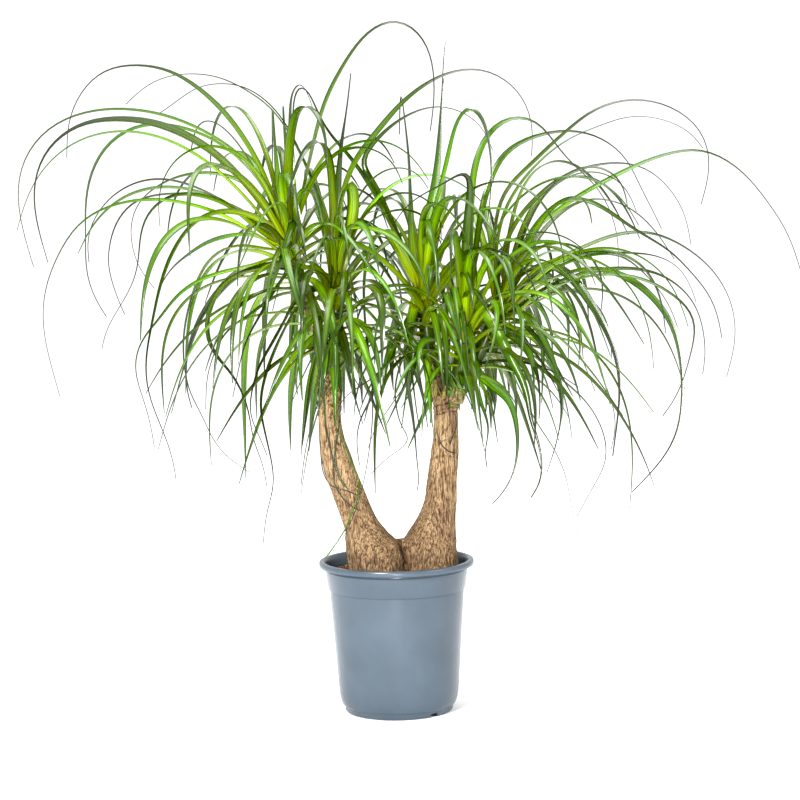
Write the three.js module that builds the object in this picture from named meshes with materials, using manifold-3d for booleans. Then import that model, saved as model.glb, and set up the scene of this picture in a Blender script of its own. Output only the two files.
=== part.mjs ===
// Potted ponytail palm: a branched plant with two stems on one swollen foot, five heads of
// arching strap leaves, and a nursery pot filled with soil.
// Millimetres, +Z up. The origin is the middle of the pot's underside, and the front is -Y.

import * as THREE from 'three';
import { ConvexGeometry } from 'three/addons/geometries/ConvexGeometry.js';
import { mergeVertices } from 'three/addons/utils/BufferGeometryUtils.js';
import Module from 'manifold-3d';

const wasm = await Module();
wasm.setup();

// Driving dimensions of the pot
const POT_HEIGHT = 236;
const LIP_RADIUS = 120;
const WALL = 2.2;
const BASE_RADIUS = 78;
const HEEL_HEIGHT = 10;
const COLLAR_BOTTOM = 193.5;
const POT_SIDES = 36;

// Driving dimensions of the plant
const SOIL_LEVEL = 218;
const SOIL_GAP = 0.5;
const SEAT_GAP = 0.3;
const STEM_SIDES = 20;
const BRANCH_SIDES = 8;
const BLADE_LEAST_WIDTH = 1.8;
const BLADE_LEAST_DEPTH = 0.8;
const BLADE_DEPTH_PER_WIDTH = 0.17;

// The leaf paths below are read in the front view, from this far and this high
const VIEW_DISTANCE = 3800;
const VIEW_HEIGHT = 864;
const VIEW_X = 10.6;

// Edges shorter than this are dropped where pieces cross
const SLIVER = 0.02;

const UP = new THREE.Vector3(0, 0, 1);

// Seeded random numbers from 0 to 1
function makeRandom(seed) {
  let state = seed >>> 0;
  return () => {
    state = (state + 0x6d2b79f5) >>> 0;
    let t = state;
    t = Math.imul(t ^ (t >>> 15), t | 1);
    t ^= t + Math.imul(t ^ (t >>> 7), t | 61);
    return ((t ^ (t >>> 14)) >>> 0) / 4294967296;
  };
}

// A closed skin over rings of equal count. Each ring turns counter-clockwise round the way ahead.
// Each four-sided facet is split along its shorter diagonal, so a twisted skin bulges outwards.
function skin(rings) {
  const count = rings[0].length;
  const positions = rings.flat().flatMap((p) => [p.x, p.y, p.z]);
  const index = [];
  for (let i = 0; i + 1 < rings.length; i += 1) {
    for (let j = 0; j < count; j += 1) {
      const k = (j + 1) % count;
      const a = i * count + j;
      const b = i * count + k;
      if (rings[i][j].distanceTo(rings[i + 1][k]) <= rings[i][k].distanceTo(rings[i + 1][j])) {
        index.push(a, b, b + count, a, b + count, a + count);
      } else {
        index.push(a, b, a + count, b, b + count, a + count);
      }
    }
  }
  const last = (rings.length - 1) * count;
  for (let j = 1; j + 1 < count; j += 1) {
    index.push(0, j + 1, j);
    index.push(last, last + j, last + j + 1);
  }
  const geometry = new THREE.BufferGeometry();
  geometry.setAttribute('position', new THREE.Float32BufferAttribute(positions, 3));
  geometry.setIndex(index);
  return geometry;
}

function toSolid(geometry) {
  const plain = geometry.clone();
  plain.deleteAttribute('normal');
  plain.deleteAttribute('uv');
  const merged = mergeVertices(plain, 1e-4);
  return new wasm.Manifold(new wasm.Mesh({
    numProp: 3,
    vertProperties: new Float32Array(merged.attributes.position.array),
    triVerts: new Uint32Array(merged.index.array),
  }));
}

function toGeometry(solid) {
  const mesh = solid.getMesh();
  const geometry = new THREE.BufferGeometry();
  geometry.setAttribute('position', new THREE.Float32BufferAttribute(mesh.vertProperties, 3));
  geometry.setIndex(Array.from(mesh.triVerts));
  return geometry;
}

function join(solids) {
  return solids.reduce((all, solid) => all.add(solid));
}

// The one main body of a solid: sealed hollows are filled and loose scraps dropped
function mainBody(solid) {
  const bodies = solid.simplify(SLIVER).decompose();
  return bodies.reduce((best, piece) => (piece.volume() > best.volume() ? piece : best));
}

// Pot: injection-moulded, with a rolled lip, a collar, a tapering body and a heel that steps in.
// The base plate is flat, and three notches in the heel let the water out.
function makePot() {
  const outside = [
    [BASE_RADIUS, 0], [82.6, 1.2], [84.4, HEEL_HEIGHT - 0.6], [86.4, HEEL_HEIGHT + 0.8],
    [89.2, 15.5], [91.7, 24], [93.6, 40], [104.4, COLLAR_BOTTOM - 4], [106.4, COLLAR_BOTTOM],
    [111, 226.4], [118.6, 226.8], [LIP_RADIUS, 228.8], [LIP_RADIUS, 233.4], [118.2, POT_HEIGHT - 0.4],
    [115, POT_HEIGHT],
  ];
  const inside = [
    [111.4, 235], [109.8, 231], [108.6, 226], [106.4 - WALL, COLLAR_BOTTOM + 0.4],
    [104.4 - WALL, COLLAR_BOTTOM - 4.6], [93.6 - WALL, 40.2], [91.7 - WALL, 25],
    [86.8, 17], [83, 11.8], [81.9, 9], [80.8, 3.6], [BASE_RADIUS - 0.4, 2.5],
  ];
  const profile = [[0, 0], ...outside, ...inside, [0, 2.5]].map(([r, z]) => new THREE.Vector2(r, z));
  const shell = new THREE.LatheGeometry(profile, POT_SIDES);
  shell.rotateX(Math.PI / 2);
  let pot = toSolid(shell);
  const notchTurns = [40, 160, 280];
  for (const degrees of notchTurns) {
    const notch = new THREE.BoxGeometry(13, 16, 12);
    notch.translate(0, -BASE_RADIUS - 5, 0);
    notch.rotateZ(THREE.MathUtils.degToRad(degrees));
    pot = pot.subtract(toSolid(notch));
  }
  return pot;
}

// Rings of a stem that stands up: [x, y, z, half width, half depth], with bark ridges all round
function stemRings(sections, grow, phase) {
  return sections.map(([x, y, z, halfWidth, halfDepth], i) => {
    const level = i === 0 ? z - grow : z;
    const ring = [];
    for (let j = 0; j < STEM_SIDES; j += 1) {
      const turn = (j / STEM_SIDES) * 2 * Math.PI;
      const ridge = 1 + 0.022 * Math.sin(7 * turn + z / 23 + phase) + 0.012 * Math.sin(4 * turn - z / 31);
      ring.push(new THREE.Vector3(
        x + (halfWidth * ridge + grow) * Math.cos(turn),
        y + (halfDepth * ridge + grow) * Math.sin(turn),
        level,
      ));
    }
    return ring;
  });
}

// Rings square to a bent branch or root: [x, y, z, radius]
function branchRings(sections, grow, sides) {
  const points = sections.map(([x, y, z]) => new THREE.Vector3(x, y, z));
  return sections.map(([, , , radius], i) => {
    const before = points[Math.max(i - 1, 0)];
    const after = points[Math.min(i + 1, points.length - 1)];
    const ahead = after.clone().sub(before).normalize();
    const side = new THREE.Vector3(0, 1, 0).cross(ahead).normalize();
    const over = ahead.clone().cross(side);
    const reach = (after === points[i] ? grow : 0) - (before === points[i] ? grow : 0);
    const centre = points[i].clone().addScaledVector(ahead, reach);
    const ring = [];
    for (let j = 0; j < sides; j += 1) {
      const turn = (j / sides) * 2 * Math.PI;
      ring.push(centre.clone()
        .addScaledVector(side, (radius + grow) * Math.cos(turn))
        .addScaledVector(over, (radius + grow) * Math.sin(turn)));
    }
    return ring;
  });
}

// Trunk: two lobes that meet at a seam in the swollen foot, and a stem on each
const LEFT_STEM = [
  [-20, -4, 140, 20, 20], [-24, -5, 158, 36, 38], [-27, -6, 182, 43, 50], [-28, -7, 212, 46, 56],
  [-30, -7, 236, 45, 53], [-34, -7, 252, 43.5, 49], [-36, -7, 263, 41.5, 44], [-41, -6, 271, 37.5, 40],
  [-45, -6, 280, 32.5, 36], [-56, -6, 300, 27.6, 30],
  [-66, -5, 325, 26, 27], [-74.5, -5, 350, 25.2, 25.5], [-83, -5, 375, 24.8, 24.8],
  [-89.5, -5, 400, 23.4, 23.4], [-95.3, -5, 425, 20, 20.5], [-98, -5, 450, 18, 18.5],
  [-98.5, -5, 478, 16.5, 16.5], [-98, -5, 506, 14, 14],
];
const RIGHT_STEM = [
  [44, 2, 144, 20, 20], [48, 2, 162, 36, 36], [52, 2, 186, 43, 48], [54.5, 2, 212, 45, 53],
  [52.5, 3, 236, 43.5, 50], [51, 3, 252, 43, 47], [52, 3, 263, 42, 43], [54.5, 3, 273, 38.5, 39],
  [62.8, 3, 300, 29.6, 31],
  [69.8, 3, 325, 25, 26.5], [72.6, 3, 350, 23.3, 24.5], [75.4, 3, 375, 22.4, 23],
  [78, 3, 400, 21.6, 22], [79.8, 3, 425, 19.9, 20.5], [80.5, 3, 450, 18.9, 19.5],
  [80.5, 3, 476, 19.4, 19.4], [82, 2, 490, 17, 17],
];

// Heads: where each grows from its branch, which way it points, and how long its green core is
const HEADS = {
  upper_left: { base: [-134, 5, 650], axis: [-0.26, 0.02, 0.97], length: 102, radius: 11 },
  left: { base: [-85, -15, 560], axis: [0, -0.01, 1], length: 136, radius: 12 },
  middle: { base: [57, 10, 546], axis: [-0.07, 0.05, 1], length: 128, radius: 12 },
  front: { base: [103, -26, 508], axis: [0.1, -0.05, 1], length: 106, radius: 14 },
  right: { base: [130, 2, 543], axis: [0.42, 0.02, 0.9], length: 106, radius: 12 },
};
for (const head of Object.values(HEADS)) {
  head.base = new THREE.Vector3(...head.base);
  head.axis = new THREE.Vector3(...head.axis).normalize();
}

// Bare branches, from inside the stem to the foot of each head
const BRANCHES = {
  upper_left: [[-98, -5, 480, 11], [-103, -5, 530, 9.6], [-109, -4, 575, 9], [-121, 0, 618, 9]],
  left: [[-97, -6, 490, 10], [-90, -11, 530, 9.5]],
  middle: [[76, 5, 470, 11], [64, 8, 516, 10.5]],
  front: [[84, -2, 470, 14], [98, -18, 492, 13]],
  right: [[88, 2, 470, 11], [110, 3, 516, 10.5]],
};

// Dry leaf bases wrapped round the top of each stem
const DRY_BASES = [
  { centre: [-98, -5], low: 446, high: 500, radius: 17, count: 9, seed: 5, wrap: 1.3, stand: 1.5 },
  { centre: [81, 3], low: 466, high: 482, radius: 19, count: 6, seed: 6, wrap: 0.7, stand: 4 },
];
const TALLEST_DRY_BASE = 42;

// Thick roots that spread from the foot, under the soil
const ROOTS = [
  [[-40, -20, 165, 12], [-62, -34, 130, 8], [-66, -40, 85, 4]],
  [[-40, 22, 165, 12], [-58, 44, 125, 8], [-56, 50, 75, 4]],
  [[10, 0, 160, 14], [14, -8, 115, 9], [8, -12, 60, 4]],
  [[62, -22, 168, 12], [72, -42, 128, 8], [66, -48, 80, 4]],
  [[62, 24, 168, 12], [74, 40, 132, 8], [70, 46, 90, 4]],
];

function makeFoot(grow) {
  const parts = [
    toSolid(skin(stemRings(LEFT_STEM, grow, 0))),
    toSolid(skin(stemRings(RIGHT_STEM, grow, 1.7))),
  ];
  for (const root of ROOTS) {
    parts.push(toSolid(skin(branchRings(root, grow, 6))));
  }
  return join(parts);
}

// Soil: fills the pot to a little under the lip, lumpy on top, with a plain hole for the foot
function makeSoil() {
  const random = makeRandom(11);
  const rim = 108.6 - SOIL_GAP - 1.2;
  const side = [
    [BASE_RADIUS - 3, 3.2], [81, 12.4], [91.7 - WALL - SOIL_GAP, 26],
    [93.6 - WALL - SOIL_GAP, 40.2], [104.4 - WALL - SOIL_GAP, COLLAR_BOTTOM - 4.6],
    [106.2 - WALL - SOIL_GAP, COLLAR_BOTTOM + 0.6], [rim - 0.8, SOIL_LEVEL - 2],
  ];
  const top = [[92, SOIL_LEVEL], [72, SOIL_LEVEL + 1.5], [40, SOIL_LEVEL + 2]];
  const ringAt = (radius, z, bump) => {
    const ring = [];
    for (let j = 0; j < POT_SIDES; j += 1) {
      const turn = (j / POT_SIDES) * 2 * Math.PI;
      ring.push(new THREE.Vector3(
        radius * Math.cos(turn),
        radius * Math.sin(turn),
        z + bump * (random() - 0.5) * 2,
      ));
    }
    return ring;
  };
  const rings = side.map(([radius, z]) => ringAt(radius, z, 0));
  rings.push(...top.map(([radius, z]) => ringAt(radius, z, 2.4)));
  rings.push(ringAt(4, SOIL_LEVEL + 2, 0));
  return mainBody(toSolid(skin(rings)).subtract(makeFoot(SOIL_GAP)));
}

// A smooth path through hand-placed points, given back at even shares of its length
function alongPath(points, shares) {
  const curve = new THREE.CatmullRomCurve3(points, false, 'centripetal');
  const steps = 8 * (points.length - 1);
  const dense = [];
  for (let i = 0; i <= steps; i += 1) {
    dense.push(curve.getPoint(i / steps));
  }
  const run = [0];
  for (let i = 1; i <= steps; i += 1) {
    run.push(run[i - 1] + dense[i].distanceTo(dense[i - 1]));
  }
  return shares.map((share) => {
    const want = share * run[steps];
    let i = 1;
    while (i < steps && run[i] < want) {
      i += 1;
    }
    const part = (want - run[i - 1]) / (run[i] - run[i - 1]);
    return dense[i - 1].clone().lerp(dense[i], part);
  });
}

// Width of a leaf along its length, as a share of its widest. A long leaf draws out to a thread
// over its last third, and a short one stays a strap until near its tip.
const LONG_FORM = [[0, 0.85], [0.07, 1], [0.2, 0.95], [0.36, 0.8], [0.5, 0.58], [0.64, 0.34],
  [0.78, 0.17], [1, 0.1]];
const SHORT_FORM = [[0, 0.85], [0.07, 1], [0.2, 0.98], [0.36, 0.9], [0.5, 0.78], [0.64, 0.6],
  [0.78, 0.36], [1, 0.1]];
function leafWidth(width, form, share) {
  let i = 1;
  while (i < form.length - 1 && form[i][0] < share) {
    i += 1;
  }
  const [s0, w0] = form[i - 1];
  const [s1, w1] = form[i];
  const shown = width * (w0 + ((w1 - w0) * (share - s0)) / (s1 - s0));
  return Math.max(shown, BLADE_LEAST_WIDTH);
}

// A leaf blade: three-cornered sections with two edges and a keel, turned about its own run.
// It is made of bulging stretches between its sections, so a folded blade never crosses itself.
function bladeSolid(points, shares, width, form, turn) {
  const out = points[points.length - 1].clone().sub(points[0]).setZ(0);
  if (out.length() < 1) {
    out.set(1, 0, 0);
  }
  const across = UP.clone().cross(out.normalize()).normalize();
  const rings = points.map((point, i) => {
    const before = points[Math.max(i - 1, 0)];
    const after = points[Math.min(i + 1, points.length - 1)];
    const ahead = after.clone().sub(before).normalize();
    const face = ahead.clone().cross(across).normalize();
    const side = face.clone().cross(ahead);
    const twist = turn * Math.min(1, shares[i] * 2.5);
    const edge = side.clone().multiplyScalar(Math.cos(twist)).addScaledVector(face, Math.sin(twist));
    const lift = face.clone().multiplyScalar(Math.cos(twist)).addScaledVector(side, -Math.sin(twist));
    const w = leafWidth(width, form, shares[i]);
    const keel = Math.max(BLADE_LEAST_DEPTH, BLADE_DEPTH_PER_WIDTH * w);
    return [
      point.clone().addScaledVector(edge, w / 2),
      point.clone().addScaledVector(edge, -w / 2),
      point.clone().addScaledVector(lift, -keel),
    ];
  });
  return join(rings.slice(1).map((ring, i) => toSolid(new ConvexGeometry([...rings[i], ...ring]))));
}

// Leaves that show by themselves from the front. For each head: widest width, how far the tip lies
// behind (+) or before (-) the head, turn of the blade in degrees, and the path in the front view
// as [across, height].
const SHOWN_LEAVES = {
  upper_left: [
    [20, -60, 35, [[-170, 780], [-193, 843], [-216, 885], [-245, 927], [-285, 966], [-330, 995],
      [-380, 1004], [-430, 997], [-467, 962], [-486, 920], [-490, 865]]],
    [14, 40, 25, [[-175, 790], [-205, 845], [-243, 881], [-298, 912], [-346, 930], [-423, 939],
      [-480, 929], [-517, 911], [-549, 877], [-565, 839], [-567, 791], [-557, 740], [-546, 699]]],
    [20, -120, 40, [[-185, 775], [-232, 837], [-275, 877], [-322, 904], [-371, 920], [-419, 923],
      [-461, 919], [-500, 898], [-525, 872], [-541, 831], [-543, 800], [-538, 761], [-524, 705]]],
    [14, 90, 25, [[-180, 800], [-225, 860], [-280, 898], [-330, 912], [-371, 915], [-415, 896],
      [-440, 870], [-458, 830], [-465, 782], [-464, 735], [-468, 704], [-457, 653], [-437, 621]]],
    [14, 150, 25, [[-190, 745], [-235, 785], [-277, 810], [-325, 828], [-360, 831], [-398, 821],
      [-433, 796], [-456, 762], [-463, 735], [-461, 705]]],
    [14, -170, 20, [[-200, 738], [-240, 768], [-266, 780], [-326, 797], [-370, 801], [-423, 793],
      [-463, 776], [-490, 750], [-509, 717], [-524, 686], [-533, 655], [-536, 620], [-531, 574],
      [-519, 525], [-513, 500]]],
    [14, 60, -30, [[-185, 790], [-210, 815], [-242, 833], [-290, 839], [-330, 831], [-367, 811],
      [-387, 790], [-397, 756], [-396, 735], [-387, 698], [-363, 663]]],
    [18, -90, 30, [[-195, 745], [-241, 787], [-292, 806], [-318, 809], [-345, 801], [-366, 784],
      [-380, 758], [-384, 730], [-386, 703], [-393, 676], [-412, 643], [-440, 599], [-446, 572]]],
    [13, 120, 20, [[-195, 760], [-240, 790], [-290, 806], [-340, 808], [-375, 803], [-399, 790],
      [-421, 759], [-431, 721], [-433, 700], [-429, 682], [-417, 642], [-409, 624]]],
    [20, -180, 55, [[-180, 755], [-225, 778], [-271, 780], [-303, 764], [-333, 721], [-353, 673],
      [-368, 610], [-378, 566], [-381, 530], [-374, 490], [-352, 433], [-339, 388], [-338, 366]]],
    [18, -130, 45, [[-190, 705], [-220, 695], [-256, 688], [-297, 674], [-333, 648], [-360, 612],
      [-380, 592], [-395, 561], [-396, 530], [-386, 497], [-375, 455], [-370, 418]]],
    [14, -60, 35, [[-190, 720], [-240, 730], [-280, 705], [-302, 662], [-317, 613], [-322, 570],
      [-320, 535], [-311, 493], [-297, 473], [-286, 441], [-265, 406], [-225, 376]]],
    [17, 80, 45, [[-200, 695], [-244, 675], [-272, 647], [-298, 608], [-313, 569], [-317, 545],
      [-316, 500], [-310, 478]]],
    [14, 30, 20, [[-200, 690], [-245, 680], [-275, 640], [-285, 600], [-273, 559], [-251, 536],
      [-235, 508], [-222, 470], [-218, 428], [-202, 386], [-198, 354]]],
    [16, 90, 30, [[-185, 735], [-215, 744], [-243, 742], [-279, 732], [-316, 709], [-331, 697],
      [-350, 672], [-362, 640]]],
    [17, 110, 30, [[-180, 800], [-211, 857], [-238, 895], [-264, 916], [-281, 918], [-293, 902],
      [-300, 872]]],
    [19, -40, 40, [[-143, 770], [-128, 830], [-112, 890], [-96, 941], [-68, 993], [-38, 1036],
      [-8, 1060], [16, 1065], [47, 1049], [68, 1012], [73, 966], [71, 930], [65, 894]]],
    [17, 200, 60, [[-152, 800], [-155, 870], [-158, 925], [-158, 944], [-157, 925], [-156, 880]]],
    [14, 150, 60, [[-160, 760], [-168, 820], [-172, 880], [-174, 930], [-174, 943], [-176, 870],
      [-178, 800]]],
    [14, 60, 50, [[-148, 780], [-147, 860], [-148, 920], [-143, 960], [-131, 974], [-120, 955],
      [-112, 930]]],
  ],
  left: [
    [14, 120, 30, [[-130, 655], [-170, 652], [-216, 621], [-252, 597], [-273, 563], [-286, 522],
      [-288, 495], [-289, 475]]],
    [17, -100, 45, [[-120, 690], [-150, 692], [-180, 655], [-200, 622], [-215, 597], [-226, 575],
      [-234, 548], [-240, 523], [-247, 493]]],
    [18, -140, 50, [[-112, 655], [-138, 652], [-165, 612], [-181, 582], [-207, 537], [-220, 490],
      [-221, 465], [-205, 425], [-196, 400]]],
    [17, -90, 45, [[-108, 640], [-138, 640], [-165, 600], [-187, 552], [-201, 510], [-206, 479],
      [-202, 453], [-192, 405], [-186, 365], [-191, 336], [-199, 318], [-203, 289], [-206, 264]]],
    [19, -105, 60, [[-66, 720], [-52, 800], [-58, 832], [-74, 805], [-83, 750], [-89, 700],
      [-94, 640], [-96, 580], [-99, 530], [-108, 505], [-124, 459], [-137, 414], [-145, 356]]],
    [18, 60, 35, [[-80, 760], [-66, 820], [-48, 858], [-15, 896], [17, 934], [52, 962], [88, 981],
      [131, 989], [162, 982], [191, 963], [212, 935], [222, 900], [219, 853]]],
    [17, 40, 50, [[-82, 750], [-76, 830], [-70, 882], [-65, 910], [-60, 940], [-54, 984]]],
    [13, 90, 25, [[-95, 740], [-115, 820], [-145, 890], [-178, 938], [-208, 959], [-250, 982],
      [-296, 989], [-340, 984], [-370, 969], [-397, 944]]],
    [11, 150, 25, [[-92, 760], [-125, 850], [-160, 920], [-190, 952], [-222, 970], [-260, 973],
      [-290, 968], [-315, 950], [-345, 930]]],
  ],
  middle: [
    [13, 100, 30, [[10, 740], [-30, 830], [-45, 845], [-20, 880], [4, 903], [40, 924], [78, 933],
      [104, 927], [124, 918], [146, 898], [160, 863]]],
    [20, 50, 45, [[35, 690], [10, 740], [-11, 783], [-41, 834], [-62, 863], [-86, 890], [-102, 917],
      [-113, 946], [-124, 969], [-132, 973], [-140, 960], [-143, 930], [-145, 890]]],
    [18, 120, 60, [[38, 690], [34, 731], [33, 803], [32, 852], [28, 900], [24, 940], [22, 958],
      [20, 940], [18, 890]]],
    [18, 30, 60, [[52, 700], [58, 755], [69, 803], [76, 851], [80, 899], [83, 935], [86, 976],
      [88, 1007], [91, 1028]]],
    [19, -50, 55, [[54, 690], [62, 755], [76, 802], [90, 850], [98, 886], [108, 915], [121, 934],
      [132, 934], [141, 922], [150, 900], [156, 861], [158, 837], [155, 790], [150, 750]]],
    [19, -150, 50, [[20, 700], [5, 742], [-10, 757], [-28, 735], [-40, 690], [-44, 650], [-42, 600],
      [-36, 550], [-32, 500], [-33, 450], [-40, 400], [-50, 350], [-66, 300], [-84, 268]]],
    [13, 60, 30, [[30, 610], [22, 550], [22, 515], [24, 498], [30, 456], [33, 420], [35, 385],
      [38, 352], [34, 342]]],
    [19, -130, 60, [[40, 640], [33, 620], [28, 590], [28, 559], [30, 520], [33, 490], [37, 455],
      [40, 440]]],
    [14, -60, 35, [[30, 585], [24, 545], [20, 510], [2, 485], [-8, 470], [-20, 453], [-33, 432],
      [-40, 410]]],
    [11, -40, 30, [[28, 575], [8, 530], [2, 495], [5, 465], [14, 436], [26, 425], [20, 415],
      [0, 402], [-22, 385], [-37, 370]]],
    [12, 60, 35, [[20, 600], [0, 560], [-20, 520], [-35, 484], [-50, 458], [-57, 430], [-57, 410],
      [-54, 384]]],
    [14, -90, 30, [[20, 590], [0, 560], [-20, 530], [-41, 512], [-62, 500], [-79, 485], [-88, 465],
      [-92, 445]]],
  ],
  front: [
    [20, -60, 50, [[114, 640], [116, 700], [121, 770], [125, 820], [120, 834], [106, 828], [84, 814],
      [60, 803], [40, 792], [20, 775], [5, 752]]],
    [18, 60, 40, [[122, 700], [125, 780], [130, 837], [148, 885], [171, 909], [200, 917], [231, 908],
      [250, 881], [265, 855], [285, 836], [305, 820], [324, 799], [340, 766], [350, 729], [351, 700],
      [349, 675]]],
    [16, 90, 30, [[128, 690], [148, 800], [177, 861], [221, 883], [260, 891], [296, 890], [330, 877],
      [356, 857], [372, 835], [381, 808], [399, 775], [409, 755], [416, 738]]],
    [20, -110, 50, [[125, 640], [141, 618], [163, 584], [182, 545], [201, 507], [208, 478],
      [211, 449], [223, 414], [228, 379], [224, 348], [210, 328]]],
    [10, 60, 20, [[138, 590], [168, 560], [195, 500], [220, 446], [247, 404], [265, 360], [274, 303],
      [287, 253]]],
    [16, -50, 40, [[118, 545], [132, 522], [149, 506], [179, 480], [187, 455], [191, 418],
      [188, 385], [181, 360], [163, 332], [150, 319]]],
    [11, -90, 30, [[118, 530], [128, 505], [134, 480], [141, 460], [146, 440], [144, 420], [140, 400],
      [143, 376]]],
    [12, -60, 30, [[120, 535], [145, 540], [170, 541], [195, 540], [215, 534], [240, 526],
      [262, 514], [285, 498]]],
  ],
  right: [
    [18, -40, 35, [[158, 700], [162, 770], [184, 815], [216, 838], [240, 864], [275, 892],
      [304, 918], [338, 932], [372, 938], [407, 934], [450, 915], [478, 889], [490, 860], [491, 823],
      [477, 775]]],
    [11, 140, 20, [[160, 690], [175, 770], [215, 830], [265, 873], [300, 890], [323, 897], [362, 911],
      [401, 910], [432, 901], [466, 882], [480, 860]]],
    [17, 30, 30, [[172, 665], [197, 713], [224, 746], [263, 775], [300, 798], [342, 819], [385, 840],
      [420, 852], [458, 860], [481, 860], [517, 842], [551, 814], [574, 782], [597, 751], [614, 718],
      [624, 687], [629, 668]]],
    [13, 100, 25, [[165, 680], [190, 750], [230, 795], [255, 815], [278, 828], [320, 839],
      [360, 841], [391, 833], [416, 815], [437, 789], [452, 762], [461, 713]]],
    [17, -110, 40, [[165, 640], [190, 700], [225, 755], [255, 782], [280, 790], [312, 783],
      [340, 764], [369, 742], [398, 724], [431, 704], [455, 677], [475, 655], [488, 638], [497, 619],
      [503, 597], [507, 569]]],
    [16, 60, 30, [[185, 640], [215, 670], [250, 695], [293, 712], [330, 728], [364, 735],
      [384, 737], [420, 728], [456, 708], [485, 685], [513, 647], [527, 606], [528, 562],
      [514, 509]]],
    [13, 150, 25, [[180, 630], [215, 668], [252, 690], [293, 701], [330, 704], [360, 703],
      [407, 698], [441, 680], [460, 650], [468, 625]]],
    [14, -60, 30, [[185, 625], [225, 668], [270, 690], [315, 702], [354, 699], [385, 675],
      [413, 643], [430, 614], [439, 587]]],
    [16, -150, 30, [[180, 615], [220, 655], [262, 674], [310, 682], [352, 672], [385, 651],
      [416, 618], [435, 583], [442, 550], [446, 510], [445, 476], [441, 438], [425, 398], [396, 363],
      [366, 333]]],
    [14, 20, 30, [[175, 605], [215, 640], [260, 662], [310, 676], [352, 680], [401, 674],
      [441, 652], [469, 617], [480, 572], [482, 545], [477, 514]]],
    [12, -200, 25, [[170, 595], [210, 632], [265, 660], [330, 672], [390, 662], [435, 636],
      [462, 610], [468, 585], [460, 552], [450, 514], [432, 472], [415, 451]]],
    [20, -120, 55, [[170, 640], [195, 672], [230, 690], [249, 688], [275, 671], [303, 632],
      [331, 582], [346, 534], [349, 490], [346, 455], [342, 425], [337, 390]]],
    [17, 40, 45, [[175, 625], [205, 655], [232, 672], [250, 669], [278, 647], [300, 607],
      [312, 560], [320, 519], [334, 484], [343, 440], [335, 400]]],
    [18, -160, 50, [[155, 600], [167, 590], [189, 579], [204, 563], [215, 541], [222, 522],
      [225, 500], [226, 475], [224, 450]]],
    [16, -50, 40, [[165, 600], [183, 592], [200, 587], [227, 569], [248, 533], [258, 492],
      [260, 460], [252, 417], [247, 400], [235, 365]]],
    [12, 60, 30, [[170, 585], [205, 560], [240, 530], [266, 506], [286, 489], [304, 468],
      [316, 447], [328, 409], [325, 375], [309, 347], [281, 297]]],
  ],
};

// Leaves that fill each head by rule: how many, seed, shortest and longest
const FILL_LEAVES = {
  upper_left: { count: 14, seed: 21, shortest: 260, longest: 480 },
  left: { count: 16, seed: 22, shortest: 260, longest: 480 },
  middle: { count: 16, seed: 23, shortest: 240, longest: 460 },
  front: { count: 18, seed: 24, shortest: 240, longest: 460 },
  right: { count: 15, seed: 25, shortest: 260, longest: 500 },
};
const STEEPEST = 78;
const FLATTEST = -14;
// Leaves that point away from the middle of the plant grow longer than those that point inwards
const OUTWARD_PULL = 0.3;
const OUTWARD_REACH = 140;
// A leaf that bends down over the front of its stem stops above this height
const LOWEST_OVER_STEM = 430;
const GOLDEN_TURN = 2.399963;
const DEPTH_PULL = 0.35;

// Points of a front-view path set at its depth, drawn in or out as seen from the viewing distance
function shownPath(head, depth, path) {
  const first = new THREE.Vector3(path[0][0], head.base.y, path[0][1]);
  const way = first.clone().sub(head.base);
  const rise = Math.max(0, way.z / way.length());
  const level = 0.12 + 0.76 * rise;
  const root = head.base.clone().addScaledVector(head.axis, head.length * level);
  const outward = first.clone().sub(root).setZ(0);
  root.addScaledVector(outward.normalize(), head.radius - 6);
  const run = [0];
  let previous = [root.x, root.z];
  for (const [x, z] of path) {
    run.push(run[run.length - 1] + Math.hypot(x - previous[0], z - previous[1]));
    previous = [x, z];
  }
  const total = run[run.length - 1];
  const points = [root];
  path.forEach(([x, z], i) => {
    const y = head.base.y + depth * (run[i + 1] / total) ** 1.2;
    const scale = (VIEW_DISTANCE + y) / VIEW_DISTANCE;
    points.push(new THREE.Vector3(
      VIEW_X + (x - VIEW_X) * scale,
      y,
      VIEW_HEIGHT + (z - VIEW_HEIGHT) * scale,
    ));
  });
  return points;
}

// Points of a leaf by rule: it leaves its head at one slope and bends over to another
function ruledPath(head, leaf) {
  const level = 0.12 + 0.76 * Math.max(0, Math.sin(leaf.slope));
  const outward = new THREE.Vector3(Math.cos(leaf.bearing), Math.sin(leaf.bearing), 0);
  const point = head.base.clone().addScaledVector(head.axis, head.length * level);
  point.addScaledVector(outward, head.radius - 6);
  const points = [point.clone()];
  const steps = 10;
  const k = (leaf.bend ** 1.5) / ((1 - leaf.bend) ** 1.5);
  for (let i = 0; i < steps; i += 1) {
    const s = (i + 0.5) / steps;
    const over = (s ** 1.5) / (s ** 1.5 + k * (1 - s) ** 1.5);
    const slope = leaf.slope + (leaf.droop - leaf.slope) * over;
    const bearing = leaf.bearing + leaf.sway * s * s;
    const step = leaf.length / steps;
    point.x += step * Math.cos(slope) * Math.cos(bearing);
    point.y += step * Math.cos(slope) * Math.sin(bearing);
    point.z += step * Math.sin(slope);
    points.push(point.clone());
  }
  return points;
}

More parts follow.
